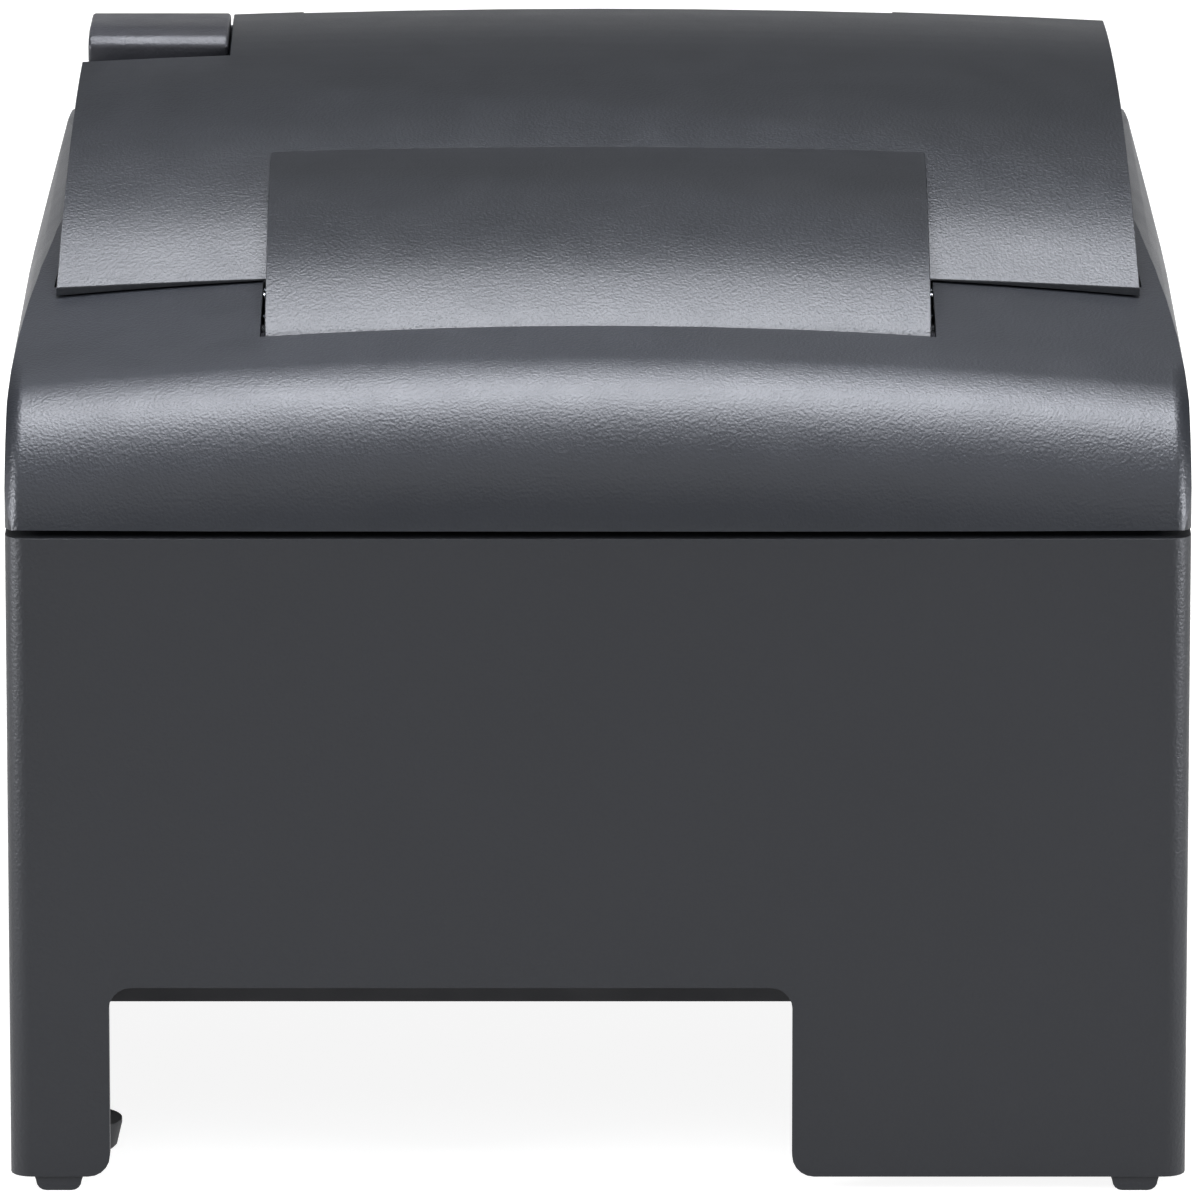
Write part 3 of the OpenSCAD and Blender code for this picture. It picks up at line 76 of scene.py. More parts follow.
# Radii in millimetres of the softened edges: the lower case's, most shells', and the front cover's.
THIN_RIM, RIM, WIDE_RIM = 0.35, 0.5, 0.6

WHITE, COOL = (1.0, 1.0, 1.0), (0.88, 0.91, 1.0)

Piece = bpy.types.Object
Tree = bpy.types.NodeTree
Socket = bpy.types.NodeSocket
Form = bmesh.types.BMesh
Edge = bmesh.types.BMEdge
Pairs = tuple[tuple[float, float], ...]
Coats = tuple[tuple[str, str], ...]
Nodes = dict[str, Piece]
Relief = tuple[Socket, float]


class Body(Enum):
    """The moving bodies that a piece may ride on."""

    HOUSING = "housing"
    ROLL_COVER = "roll_cover"
    FRONT_COVER = "front_cover"
    OPEN_LEVER = "open_lever"


class Lay(Enum):
    """The direction that a worked finish runs in, as stretches of its pattern along X, Y and Z."""

    ACROSS = (0.04, 1.0, 1.0)
    UPRIGHT = (1.0, 1.0, 0.04)
    NONE = (1.0, 1.0, 1.0)


# ---- materials


def linear(colour: str) -> tuple[float, float, float, float]:
    """Turns an sRGB hex colour into linear red, green, blue and alpha.

    Args:
        colour: six hex digits with a leading hash.

    Returns:
        The linear colour, with an alpha of 1.
    """
    parts = [int(colour[i : i + 2], 16) / 255 for i in (1, 3, 5)]
    return (*[p / 12.92 if p <= 0.04045 else ((p + 0.055) / 1.055) ** 2.4 for p in parts], 1.0)


def add_node(
    tree: Tree,
    kind: str,
    settings: dict[str | int, object] | None = None,
    links: dict[str | int, Socket] | None = None,
) -> bpy.types.Node:
    """Adds a node to a tree with its settings and its incoming links.

    Args:
        tree: the node tree that grows.
        kind: the node's type, without the ShaderNode that all of them start with.
        settings: properties by name, and unlinked inputs by name or by index.
        links: inputs by name or by index, with the outputs that feed them.

    Returns:
        The new node.
    """
    node = tree.nodes.new(f"ShaderNode{kind}")
    for name, value in (settings or {}).items():
        if isinstance(name, str) and hasattr(node, name):
            setattr(node, name, value)
        else:
            node.inputs[name].default_value = value
    for name, socket in (links or {}).items():
        tree.links.new(socket, node.inputs[name])
    return node


@dataclass(frozen=True)
class Surface:
    """What all finishes share: a colour that drifts between two tones, and a broken-up gloss.

    Attributes:
        name: the material's name.
        colour: its main tone, as sRGB hex.
        second: the tone that it drifts towards.
        roughness: middle roughness.
        roughness_swing: how far the roughness moves either way.
        drift_mm: how wide a patch of one tone is.
        ior: index of refraction of a material that isn't a metal.
        metallic: 1 for a bare metal.
        mirror: how much of the plain mirror-like reflection the surface's texture leaves, 0.5 for all.
    """

    name: str
    colour: str
    second: str
    roughness: float = 0.5
    roughness_swing: float = 0.05
    drift_mm: float = 24.0
    ior: float = 1.5
    metallic: float = 0.0
    mirror: float = 0.5

    def relief(self, tree: Tree, place: Socket) -> Relief:
        """Gives the height pattern of the surface.

        Args:
            tree: the material's tree.
            place: the socket with the point's place on the object.

        Returns:
            The height socket, and its depth in millimetres.
        """
        noise = add_node(tree, "TexNoise", {"Scale": SKIN_SCALE, "Detail": 3.0}, {"Vector": place})
        return noise.outputs["Fac"], 0.01

    def tint(self, tree: Tree, place: Socket) -> Socket:
        """Gives the colour of the surface: two tones mixed by wide, soft patches and a fine speckle."""
        wide = add_node(
            tree, "TexNoise", {"Scale": 1000 / self.drift_mm, "Detail": 4.0, "Roughness": 0.65},
            {"Vector": place},
        )
        fine = add_node(tree, "TexNoise", {"Scale": SPECKLE_SCALE, "Detail": 2.0}, {"Vector": place})
        both = add_node(
            tree, "Mix", {"data_type": "FLOAT", 0: 0.35}, {2: wide.outputs["Fac"], 3: fine.outputs["Fac"]}
        )
        spread = add_node(
            tree, "MapRange", {"From Min": 0.32, "From Max": 0.68}, {"Value": both.outputs[0]}
        )
        mixed = add_node(
            tree, "Mix", {"data_type": "RGBA", 6: linear(self.colour), 7: linear(self.second)},
            {0: spread.outputs["Result"]},
        )
        return mixed.outputs[2]

    def gloss(self, tree: Tree, place: Socket) -> Socket:
        """Gives the roughness of the surface, broken up by handling and by the mould or the tool."""
        noise = add_node(tree, "TexNoise", {"Scale": HANDLING_SCALE, "Detail": 5.0}, {"Vector": place})
        low, high = self.roughness - self.roughness_swing, self.roughness + self.roughness_swing
        level = add_node(
            tree, "MapRange", {"From Min": 0.3, "From Max": 0.7, "To Min": low, "To Max": high},
            {"Value": noise.outputs["Fac"]},
        )
        return level.outputs["Result"]

    def finishing(self, shader: bpy.types.Node) -> None:
        """Sets what is the same all over the surface on the shader's own sockets."""
        shader.inputs["IOR"].default_value = self.ior
        shader.inputs["Metallic"].default_value = self.metallic
        shader.inputs["Specular IOR Level"].default_value = self.mirror

    def build(self) -> bpy.types.Material:
        """Makes the material.

        Returns:
            The finished material.
        """
        material = bpy.data.materials.new(self.name)
        material.use_nodes = True
        material.diffuse_color = linear(self.colour)
        tree = material.node_tree
        tree.nodes.clear()
        place = add_node(tree, "TexCoord").outputs["Object"]
        height, depth = self.relief(tree, place)
        bump = add_node(tree, "Bump", {"Strength": 1.0, "Distance": depth * MM}, {"Height": height})
        shader = add_node(
            tree, "BsdfPrincipled", {},
            {
                "Base Color": self.tint(tree, place),
                "Roughness": self.gloss(tree, place),
                "Normal": bump.outputs["Normal"],
            },
        )
        self.finishing(shader)
        add_node(tree, "OutputMaterial", {}, {"Surface": shader.outputs["BSDF"]})
        return material


@dataclass(frozen=True)
class MouldedPlastic(Surface):
    """Injection-moulded plastic with a spark-eroded or leather-grained mould surface.

    Attributes:
        grain_mm: spacing of the grain's cells.
        grain_depth: depth of the grain in millimetres.
    """

    ior: float = 1.53
    grain_mm: float = 0.7
    grain_depth: float = 0.02

    def relief(self, tree: Tree, place: Socket) -> Relief:
        """Gives pebbled cells with a finer frost on them, as a textured mould leaves them."""
        bend = add_node(
            tree, "TexNoise", {"Scale": 700 / self.grain_mm, "Detail": 2.0}, {"Vector": place}
        )
        moved = add_node(
            tree, "VectorMath", {"operation": "MULTIPLY_ADD", 1: (self.grain_mm * MM,) * 3},
            {0: bend.outputs["Color"], 2: place},
        )
        cells = add_node(
            tree, "TexVoronoi", {"feature": "SMOOTH_F1", "Scale": 1000 / self.grain_mm, "Smoothness": 0.6},
            {"Vector": moved.outputs["Vector"]},
        )
        frost = add_node(
            tree, "TexNoise", {"Scale": 2600 / self.grain_mm, "Detail": 2.0}, {"Vector": place}
        )
        height = add_node(
            tree, "Mix", {"data_type": "FLOAT", 0: 0.35},
            {2: cells.outputs["Distance"], 3: frost.outputs["Fac"]},
        )
        return height.outputs[0], self.grain_depth


@dataclass(frozen=True)
class WorkedMetal(Surface):
    """Sheet, turned or ground bare metal, with the fine lines that rolling, turning or brushing leaves.

    Attributes:
        lay: the direction that the lines run in.
        line_mm: spacing of the lines.
        line_depth: depth of the lines in millimetres.
        spangle_mm: width of the zinc coat's crystals, 0 for a metal without them.
    """

    metallic: float = 1.0
    lay: Lay = Lay.NONE
    line_mm: float = 0.4
    line_depth: float = 0.004
    spangle_mm: float = 0.0

    def relief(self, tree: Tree, place: Socket) -> Relief:
        """Gives fine lines stretched along the lay."""
        stretched = add_node(tree, "Mapping", {"Scale": Vector(self.lay.value)}, {"Vector": place})
        lines = add_node(
            tree, "TexNoise", {"Scale": 1000 / self.line_mm, "Detail": 4.0, "Roughness": 0.6},
            {"Vector": stretched.outputs["Vector"]},
        )
        return lines.outputs["Fac"], self.line_depth

    def tint(self, tree: Tree, place: Socket) -> Socket:
        """Gives the metal's colour, in flat crystals where the coat has spangle."""
        if not self.spangle_mm:
            return super().tint(tree, place)
        crystals = add_node(tree, "TexVoronoi", {"Scale": 1000 / self.spangle_mm}, {"Vector": place})
        mixed = add_node(
            tree, "Mix", {"data_type": "RGBA", 6: linear(self.colour), 7: linear(self.second)},
            {0: crystals.outputs["Color"]},
        )
        return mixed.outputs[2]


@dataclass(frozen=True)
class Elastomer(Surface):
    """Moulded or ground rubber: dull, with pores and a dusting of fibre or talc.

    Attributes:
        pore_mm: spacing of the pores.
    """

    pore_mm: float = 0.3

    def relief(self, tree: Tree, place: Socket) -> Relief:
        """Gives small pits."""
        pores = add_node(
            tree, "TexVoronoi", {"Scale": 1000 / self.pore_mm, "Randomness": 1.0}, {"Vector": place}
        )
        return pores.outputs["Distance"], 0.015

    def finishing(self, shader: bpy.types.Node) -> None:
        """Adds the pale bloom that rubber shows at its edges."""
        super().finishing(shader)
        shader.inputs["Sheen Weight"].default_value = 0.12
        shader.inputs["Sheen Roughness"].default_value = 0.5


@dataclass(frozen=True)
class CircuitBoard(Surface):
    """Glass-fibre board under solder mask, with copper tracks that show through as a paler green.

    Attributes:
        track_mm: spacing of the tracks.
        track_colour: the mask's tone over copper.
    """

    track_mm: float = 2.2
    track_colour: str = "#2f7a4a"

    def tracks(self, tree: Tree, place: Socket) -> Socket:
        """Gives 1 on a track and 0 between tracks."""
        bricks = add_node(
            tree, "TexBrick",
            {
                "Scale": 1000 / self.track_mm, "Mortar Size": 0.14, "Mortar Smooth": 0.1,
                "Brick Width": 5.0, "Row Height": 0.9, "offset": 0.37,
            },
            {"Vector": place},
        )
        return bricks.outputs["Fac"]

    def relief(self, tree: Tree, place: Socket) -> Relief:
        """Raises the mask over the copper by the copper's thickness."""
        return self.tracks(tree, place), 0.035

    def tint(self, tree: Tree, place: Socket) -> Socket:
        """Lays the track tone over the mask's own drift."""
        base = super().tint(tree, place)
        mixed = add_node(
            tree, "Mix", {"data_type": "RGBA", 7: linear(self.track_colour)},
            {0: self.tracks(tree, place), 6: base},
        )
        return mixed.outputs[2]


@dataclass(frozen=True)
class WovenRibbon(Surface):
    """Nylon ribbon in a plain weave, soaked with ink.

    Attributes:
        thread_mm: about half the spacing of the drawn threads, which are coarser than the real 0.1 mm so
            that they show.
    """

    thread_mm: float = 0.35

    def relief(self, tree: Tree, place: Socket) -> Relief:
        """Gives warp and weft as two crossed waves."""
        waves = [
            add_node(
                tree, "TexWave", {"bands_direction": axis, "Scale": 1000 / self.thread_mm / WAVE_SCALE},
                {"Vector": place},
            )
            for axis in ("X", "Z")
        ]
        crossed = add_node(
            tree, "Math", {"operation": "MAXIMUM"},
            {0: waves[0].outputs["Fac"], 1: waves[1].outputs["Fac"]},
        )
        return crossed.outputs["Value"], 0.05


@dataclass(frozen=True)
class ClearPlastic(Surface):
    """Tinted transparent acrylic with a smooth, slightly waved surface.

    Attributes:
        transmission: share of the light that goes through.
    """

    transmission: float = 0.6

    def finishing(self, shader: bpy.types.Node) -> None:
        """Lets light through the lens."""
        super().finishing(shader)
        shader.inputs["Transmission Weight"].default_value = self.transmission


# ABS, acrylonitrile butadiene styrene, moulded in a spark-eroded tool: a charcoal with a blue cast,
# whose fine pebble spreads the lamps into a soft satin band with a frosted sparkle.
HOOD_PLASTIC = MouldedPlastic(
    "abs_charcoal_hood", "#23262d", "#202329", roughness=0.4, roughness_swing=0.02, drift_mm=60.0,
    mirror=0.32, grain_mm=0.42, grain_depth=0.07,
)
# The same ABS on the flat lower case, seen as an even, dull charcoal panel.
CASE_PLASTIC = MouldedPlastic(
    "abs_charcoal_case", "#23252a", "#1f2126", roughness=0.46, roughness_swing=0.02, drift_mm=60.0,
    mirror=0.32, grain_mm=0.45, grain_depth=0.065,
)
# The same ABS on the covers, its charcoal darker than the hood's as painted shade, with a little less grain
# and a weaker sheen than the hood.
SHADED_COVER_PLASTIC = MouldedPlastic(
    "abs_charcoal_cover", "#1a1d23", "#171a1f", roughness=0.39, roughness_swing=0.02, drift_mm=60.0,
    mirror=0.28, grain_mm=0.42, grain_depth=0.065,
)
# The same ABS on the lever: a little lighter, with a wider grain and the weakest sheen of the four.
LEVER_PLASTIC = MouldedPlastic(
    "abs_charcoal_lever", "#2b2c32", "#27282d", roughness=0.43, drift_mm=30.0, mirror=0.26, grain_mm=0.5,
    grain_depth=0.065,
)
# High-impact polystyrene for the inside mouldings: near black, with a plain half-matt skin.
INNER_PLASTIC = MouldedPlastic(
    "polystyrene_black_inner", "#232428", "#1c1d20", roughness=0.42, ior=1.59, grain_mm=0.9,
    grain_depth=0.008,
)
# ABS of the base tray: the charcoal case plastic from an unpolished tool, duller than the case.
BASE_PLASTIC = MouldedPlastic(
    "abs_charcoal_base", "#2f3035", "#28292d", roughness=0.58, grain_mm=0.9, grain_depth=0.02,
)

FINISHES: dict[str, Surface] = {
    "hood": HOOD_PLASTIC,
    "case": CASE_PLASTIC,
    "cover": SHADED_COVER_PLASTIC,
    "lever": LEVER_PLASTIC,
    "inner": INNER_PLASTIC,
    "base": BASE_PLASTIC,
    # Thermoplastic rubber of the feet: black, dull and pored, with a pale bloom.
    "rubber": Elastomer("thermoplastic_rubber_feet", "#26272a", "#1e1f21", roughness=0.72, ior=1.52),
    # Hot-dip zinc on sheet steel: cool grey with soft crystal patches.
    "plated": WorkedMetal(
        "zinc_plated_steel", "#a9adb3", "#969aa1", roughness=0.36, line_mm=0.6, spangle_mm=5.0,
    ),
    # Stainless strip of the tear bar, ground lengthwise: bright, with fine lines.
    "blade": WorkedMetal(
        "stainless_steel_strip", "#c3c5c8", "#b2b4b8", roughness=0.26, lay=Lay.ACROSS, line_mm=0.25,
    ),
    # Ground and polished steel rod: near-mirror, with faint turning lines round it.
    "shaft": WorkedMetal(
        "ground_steel_rod", "#bcbfc3", "#adb0b5", roughness=0.2, lay=Lay.UPRIGHT, line_mm=0.3,
        line_depth=0.002,
    ),
    # Steel of the hinge pins, dull and near black: the near black is painted shade that keeps the hinge
    # slots dark.
    "pin": WorkedMetal(
        "near_black_steel_pin_slot_shade", "#2c2c2f", "#232326", roughness=0.55, lay=Lay.UPRIGHT, line_mm=0.3,
    ),
    # Nitrile rubber of the paper rollers, ground round: dark grey and powdery.
    "roller": Elastomer("nitrile_rubber_roller", "#303236", "#27292c", roughness=0.66, pore_mm=0.25),
    # Glass-filled PBT of the sockets: black, with a faint fibre fleck.
    "connector": MouldedPlastic(
        "pbt_black_socket", "#1d1e20", "#26272a", roughness=0.5, ior=1.57, drift_mm=1.2, grain_mm=0.4,
        grain_depth=0.01,
    ),
    # FR4 glass-fibre board under green solder mask.
    "pcb": CircuitBoard(
        "fr4_solder_mask", "#17512f", "#12452a", roughness=0.32, ior=1.55, drift_mm=8.0,
    ),
    # Epoxy moulding compound of the chips: flat black-grey with a sanded look.
    "chip": MouldedPlastic(
        "epoxy_moulding_compound", "#242527", "#1d1e20", roughness=0.6, ior=1.55, grain_mm=0.25,
        grain_depth=0.01,
    ),
    # Acetal of the gears and bushes: milky white with a waxy shine.
    "acetal": MouldedPlastic(
        "acetal_natural", "#e2e0d6", "#d8d5c8", roughness=0.34, ior=1.48, grain_mm=0.8,
        grain_depth=0.004,
    ),
    # Free-cutting brass of the motor's gear and pulley, turned.
    "brass": WorkedMetal(
        "turned_brass", "#c9a45a", "#b8924a", roughness=0.27, lay=Lay.ACROSS, line_mm=0.3,
    ),
    # Drawn steel motor can with a thin dull nickel coat.
    "motor": WorkedMetal(
        "nickel_plated_can", "#9c9a94", "#8b8983", roughness=0.33, lay=Lay.UPRIGHT, line_mm=0.5,
    ),
    # Die-cast zinc of the print head's nose under black enamel.
    "head": MouldedPlastic(
        "black_enamelled_casting", "#2a2b2d", "#222325", roughness=0.38, ior=1.52, grain_mm=1.1,
        grain_depth=0.012,
    ),
    # Black-anodised aluminium of the heat sink: warm dark grey with a metal glint.
    "heatsink": WorkedMetal(
        "black_anodised_aluminium", "#3c3b3a", "#333231", roughness=0.4, metallic=0.85, lay=Lay.UPRIGHT,
        line_mm=0.35,
    ),
    # Polyurethane timing belt on glass cord: black and slightly greasy.
    "belt": Elastomer("polyurethane_belt", "#212224", "#191a1c", roughness=0.45, pore_mm=0.5),
    # Polystyrene ribbon cassette: dark slate with a clean semi-gloss.
    "cassette": MouldedPlastic(
        "polystyrene_slate_cassette", "#34373f", "#2d3037", roughness=0.3, ior=1.59, grain_mm=1.2,
        grain_depth=0.006,
    ),
    # Inked nylon ribbon: blue-black weave, damp-looking in the light.
    "ribbon": WovenRibbon("inked_nylon_ribbon", "#1b1a29", "#141320", roughness=0.55, drift_mm=6.0),
    # ABS knob: light grey, so that the hand finds it.
    "knob": MouldedPlastic(
        "abs_grey_knob", "#8b8f96", "#80848b", roughness=0.42, grain_mm=0.5, grain_depth=0.012,
    ),
    # Polycarbonate overlay of the panel: smooth, dark and satin.
    "panel": MouldedPlastic(
        "polycarbonate_panel", "#25262a", "#202125", roughness=0.32, ior=1.58, grain_mm=0.35,
        grain_depth=0.006,
    ),
    # Acrylic lens, tinted green.
    "lens": ClearPlastic(
        "acrylic_green_lens", "#4fae6a", "#459c5e", roughness=0.14, ior=1.49, drift_mm=3.0,
    ),
    # ABS button cap in mid grey.
    "button": MouldedPlastic(
        "abs_grey_button", "#6d7077", "#646770", roughness=0.42, grain_mm=0.45, grain_depth=0.012,
    ),
    # Polyamide rocker and switch body: deep black with a soft shine.
    "switch": MouldedPlastic(
        "polyamide_black_switch", "#1e1f21", "#18191b", roughness=0.36, grain_mm=0.7, grain_depth=0.008,
    ),
    # Screws in black-oxide steel: oily dark grey metal.
    "screw": WorkedMetal(
        "black_oxide_steel", "#4a4a4c", "#3d3d3f", roughness=0.38, metallic=0.9, line_mm=0.3,
    ),
}


class PaintShop:
    """Makes each finish once and hands it to the pieces."""

    def __init__(self) -> None:
        """Starts with none made."""
        self.made: dict[str, bpy.types.Material] = {}

    def material(self, slot: str) -> bpy.types.Material:
        """Gives the material of a slot, and makes it on its first use."""
        if slot not in self.made:
            self.made[slot] = FINISHES[slot].build()
        return self.made[slot]

    def coat(self, piece: Piece, slot: str) -> None:
        """Puts a slot's finish on a piece, in place of what it has."""
        if not piece.material_slots:
            piece.data.materials.append(self.material(slot))
        for holder in piece.material_slots:
            holder.material = self.material(slot)


# ---- shells


@dataclass(frozen=True)
class Arc:
    """One arc of a side profile, in millimetres.

    Attributes:
        y: the centre's place along Y.
        z: the centre's height.
        radius: the arc's radius.
        start: where the arc starts along Y.
        end: where it ends.
    """

    y: float
    z: float
    radius: float
    start: float
    end: float


@dataclass(frozen=True)
class CrownedSkin:
    """The outer skin of a shell: a side profile swept round a far axis, so that it is crowned across X.

    Attributes:
        crown: radius of the crown in millimetres.
        top: height of the profile's highest point.
        arcs: the arcs of the profile.
        half: the skin's half width, past which it isn't this skin.
        sheen: slopes of the arcs with the slopes that the light is given, in degrees, so that the sheen
            gathers at the lip as it does on the real moulding.
        roll: width in millimetres of the strip at each side where the skin turns softly to the side wall.
        roll_end: place along Y in millimetres where that strip has faded out.
        roll_fade: length over which it fades.
        roll_turn: how far in degrees the strip turns at most.
    """

    crown: float
    top: float
    arcs: tuple[Arc, ...]
    half: float = 80.0
    sheen: Pairs = ()
    roll: float = 0.0
    roll_end: float = 0.0
    roll_fade: float = 8.0
    roll_turn: float = 62.0

    def lit_slope(self, slope: float) -> float:
        """Gives the slope that the light sees for a slope of the arcs, both in degrees."""
        for (low, low_seen), (high, high_seen) in zip(self.sheen, self.sheen[1:]):
            if low <= slope <= high:
                return low_seen + (high_seen - low_seen) * (slope - low) / (high - low)
        return slope

    def lit(self, point: Vector) -> Vector | None:
        """Gives the direction that the light sees the skin face at a point.

        Args:
            point: the point in metres.

        Returns:
            The unit direction, or None where the skin doesn't reach.
        """
        found = self.outward(point)
        if found is None:
            return None
        out = found[0]
        rise = math.hypot(out.x, out.z)
        seen = math.radians(self.lit_slope(math.degrees(math.atan2(-out.y, rise))))
        out = Vector((out.x / rise * math.cos(seen), -math.sin(seen), out.z / rise * math.cos(seen)))
        return self.rolled(out, point)

    def rolled(self, out: Vector, point: Vector) -> Vector:
        """Turns a direction to the side wall where a point lies in the soft strip at the skin's side."""
        into = 1.0 - (self.half - abs(point.x) / MM) / self.roll if self.roll else 0.0
        kept = min(1.0, max(0.0, (self.roll_end - point.y / MM) / self.roll_fade))
        if into <= 0.0 or kept <= 0.0:
            return out
        turn = min(math.asin(min(into, 1.0)), math.radians(self.roll_turn)) * kept
        sideways = Vector((math.copysign(math.sin(turn), point.x), 0.0, 0.0))
        return (out * math.cos(turn) + sideways).normalized()

    def outward(self, point: Vector) -> tuple[Vector, float] | None:
        """Gives the skin's own normal above or below a point, and how far the point is off the skin.

        Args:
            point: the point in metres.

        Returns:
            The unit normal and the distance in metres, or None where the skin doesn't reach.
        """
        x, y, z = (c / MM for c in point)
        if abs(x) > self.half + MARGIN:
            return None
        axis = self.top - self.crown
        reach = math.hypot(x, z - axis)
        height = reach + axis
        for arc in self.arcs:
            if arc.start - MARGIN <= y <= arc.end + MARGIN:
                out = Vector((0.0, y - arc.y, height - arc.z))
                off = (out.length - arc.radius) * MM
                out.normalize()
                return Vector((out.z * x / reach, out.y, out.z * (z - axis) / reach)), off
        return None


EdgeTest = Callable[[Edge, bool], bool]


@dataclass
class Shell:
    """A moulded shell: a merged copy of its solid with smooth skins, softened rims and its finish.

    Attributes:
        node: the solid that it stands for.
        body: the body that it rides on.
        slot: its material slot.
        skins: the curved skins whose highlights must run clean.
        rounds: radii in millimetres of the softened edges, each with a test of the edges that get it. The
            test is given the edge, and whether it borders a skin.
        rows: places along Y in millimetres where the mesh is cut finer.
        columns: places along X where it is cut finer, on both sides.
        tolerance: how far in millimetres a face may be off a skin that it belongs to.
        leaning: how far in degrees it may lean off that skin.
        flat_area: area in square millimetres from which any other face is a flat wall, and is lit as one.
    """

    node: str
    body: Body
    slot: str
    skins: tuple[CrownedSkin, ...] = ()
    rounds: tuple[tuple[float, EdgeTest], ...] = ()
    rows: tuple[float, ...] = ()
    columns: tuple[float, ...] = ()
    tolerance: float = 0.085
    leaning: float = 5.0
    flat_area: float = 1000.0

    def on_skin(self, face: bmesh.types.BMFace) -> CrownedSkin | None:
        """Gives the skin that a face lies on, or None."""
        for skin in self.skins:
            found = [skin.outward(v.co) for v in face.verts]
            if all(f is not None and abs(f[1]) < self.tolerance * MM for f in found):
                middle = skin.outward(face.calc_center_median())
                if middle and middle[0].angle(face.normal, math.pi) < math.radians(self.leaning):
                    return skin
        return None

    def settle(self, form: Form) -> None:
        """Moves the points of the skins' faces from the solid's facets on to the true arcs."""
        form.normal_update()
        for face in form.faces:
            skin = self.on_skin(face)
            if skin is None:
                continue
            for vertex in face.verts:
                normal, off = skin.outward(vertex.co)
                vertex.co -= normal * off
        form.normal_update()

    def soften(self, form: Form, radius: float, wanted: EdgeTest) -> None:
        """Rounds the sharp outer edges that a test picks.

        Args:
            form: the shell's mesh.
            radius: radius of the round in millimetres.
            wanted: picks the edges.
        """
        outer = {f.index for f in form.faces if self.on_skin(f)}
        edges = [
            edge
            for edge in form.edges
            if len(edge.link_faces) == 2
            and edge.is_convex
            and edge.calc_face_angle(0.0) > math.radians(SHARP)
            and wanted(edge, any(f.index in outer for f in edge.link_faces))
        ]
        if edges:
            bmesh.ops.bevel(
                form, geom=edges, offset=radius * MM, offset_type="OFFSET", segments=3 + round(radius),
                profile=0.5, affect="EDGES", clamp_overlap=True, material=-1, loop_slide=True,
            )
            form.faces.index_update()
            form.normal_update()
        LOG.info("%s: %d edges rounded to %.1f mm", self.node, len(edges), radius)

    def cut(self, form: Form) -> None:
        """Cuts the mesh finer along the shell's rows and columns."""
        cuts = [(Vector((0.0, row, 0.0)), Vector((0.0, 1.0, 0.0))) for row in self.rows]
        cuts += [
            (Vector((side * column, 0.0, 0.0)), Vector((1.0, 0.0, 0.0)))
            for column in self.columns
            for side in (-1, 1)
        ]
        for place, direction in cuts:
            bmesh.ops.bisect_plane(
                form, geom=[*form.verts, *form.edges, *form.faces], dist=CUT,
                plane_co=place * MM, plane_no=direction,
            )

    def shade(self, mesh: bpy.types.Mesh, skinned: dict[int, CrownedSkin]) -> None:
        """Gives the mesh its shading directions, so that walls stay even and highlights run clean.

        Args:
            mesh: the shell's mesh.
            skinned: the faces that lie on a skin, with that skin.
        """
        facing = [Vector(n.vector) for n in mesh.corner_normals]
        on_edge: dict[int, Vector] = {}
        for polygon in mesh.polygons:
            if polygon.index not in skinned and polygon.area > self.flat_area * MM * MM:
                for loop in polygon.loop_indices:
                    facing[loop] = on_edge[mesh.loops[loop].vertex_index] = polygon.normal.copy()
        for index, skin in skinned.items():
            for loop in mesh.polygons[index].loop_indices:
                vertex = mesh.loops[loop].vertex_index
                found = skin.lit(mesh.vertices[vertex].co)
                if found is not None:
                    facing[loop] = on_edge[vertex] = found
        for polygon in mesh.polygons:
            if polygon.index in skinned:
                continue
            for loop in polygon.loop_indices:
                exact = on_edge.get(mesh.loops[loop].vertex_index)
                if exact is not None and exact.dot(facing[loop]) > JOINED:
                    facing[loop] = exact
        mesh.normals_split_custom_set([tuple(n) for n in facing])

    def build(self, source: Piece, paint: PaintShop) -> Piece:
        """Makes the shell.

        Args:
            source: the node's own object, which is left alone.
            paint: gives the finish.

        Returns:
            The finished piece.
        """
        form = bmesh.new()
        form.from_mesh(source.data)
        bmesh.ops.remove_doubles(form, verts=form.verts, dist=WELD)
        bmesh.ops.dissolve_limit(form, angle_limit=math.radians(FLAT), verts=form.verts, edges=form.edges)
        self.cut(form)
        self.settle(form)
        for radius, wanted in self.rounds:
            self.soften(form, radius, wanted)
        form.normal_update()
        for face in form.faces:
            face.smooth = True
        for edge in form.edges:
            edge.smooth = len(edge.link_faces) == 2 and edge.calc_face_angle(0.0) < math.radians(SMOOTH)
        mesh = bpy.data.meshes.new(f"{self.node}_shell")
        form.to_mesh(mesh)
        self.shade(mesh, {f.index: s for f in form.faces if (s := self.on_skin(f))})
        form.free()
        piece = bpy.data.objects.new(f"{self.node}_shell", mesh)
        bpy.context.scene.collection.objects.link(piece)
        paint.coat(piece, self.slot)
        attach(piece, self.body.value)
        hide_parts(self.node)
        return piece


def on_skins(edge: Edge, skinned: bool) -> bool:
    """Picks the edges of the skins."""
    return skinned


def places(edge: Edge) -> tuple[Vector, Vector]:
    """Gives an edge's two ends in millimetres."""
    return tuple(v.co / MM for v in edge.verts)


def outside(edge: Edge) -> bool:
    """Says whether an edge lies on the case's outer walls."""
    return all(abs(p.x) > WALL_X or abs(p.y) > WALL_Y for p in places(edge))


def level_at(edge: Edge, height: float) -> bool:
    """Says whether an edge lies level at a height, in millimetres, on the case's outside."""
    return outside(edge) and all(abs(p.z - height) < LEVEL for p in places(edge))


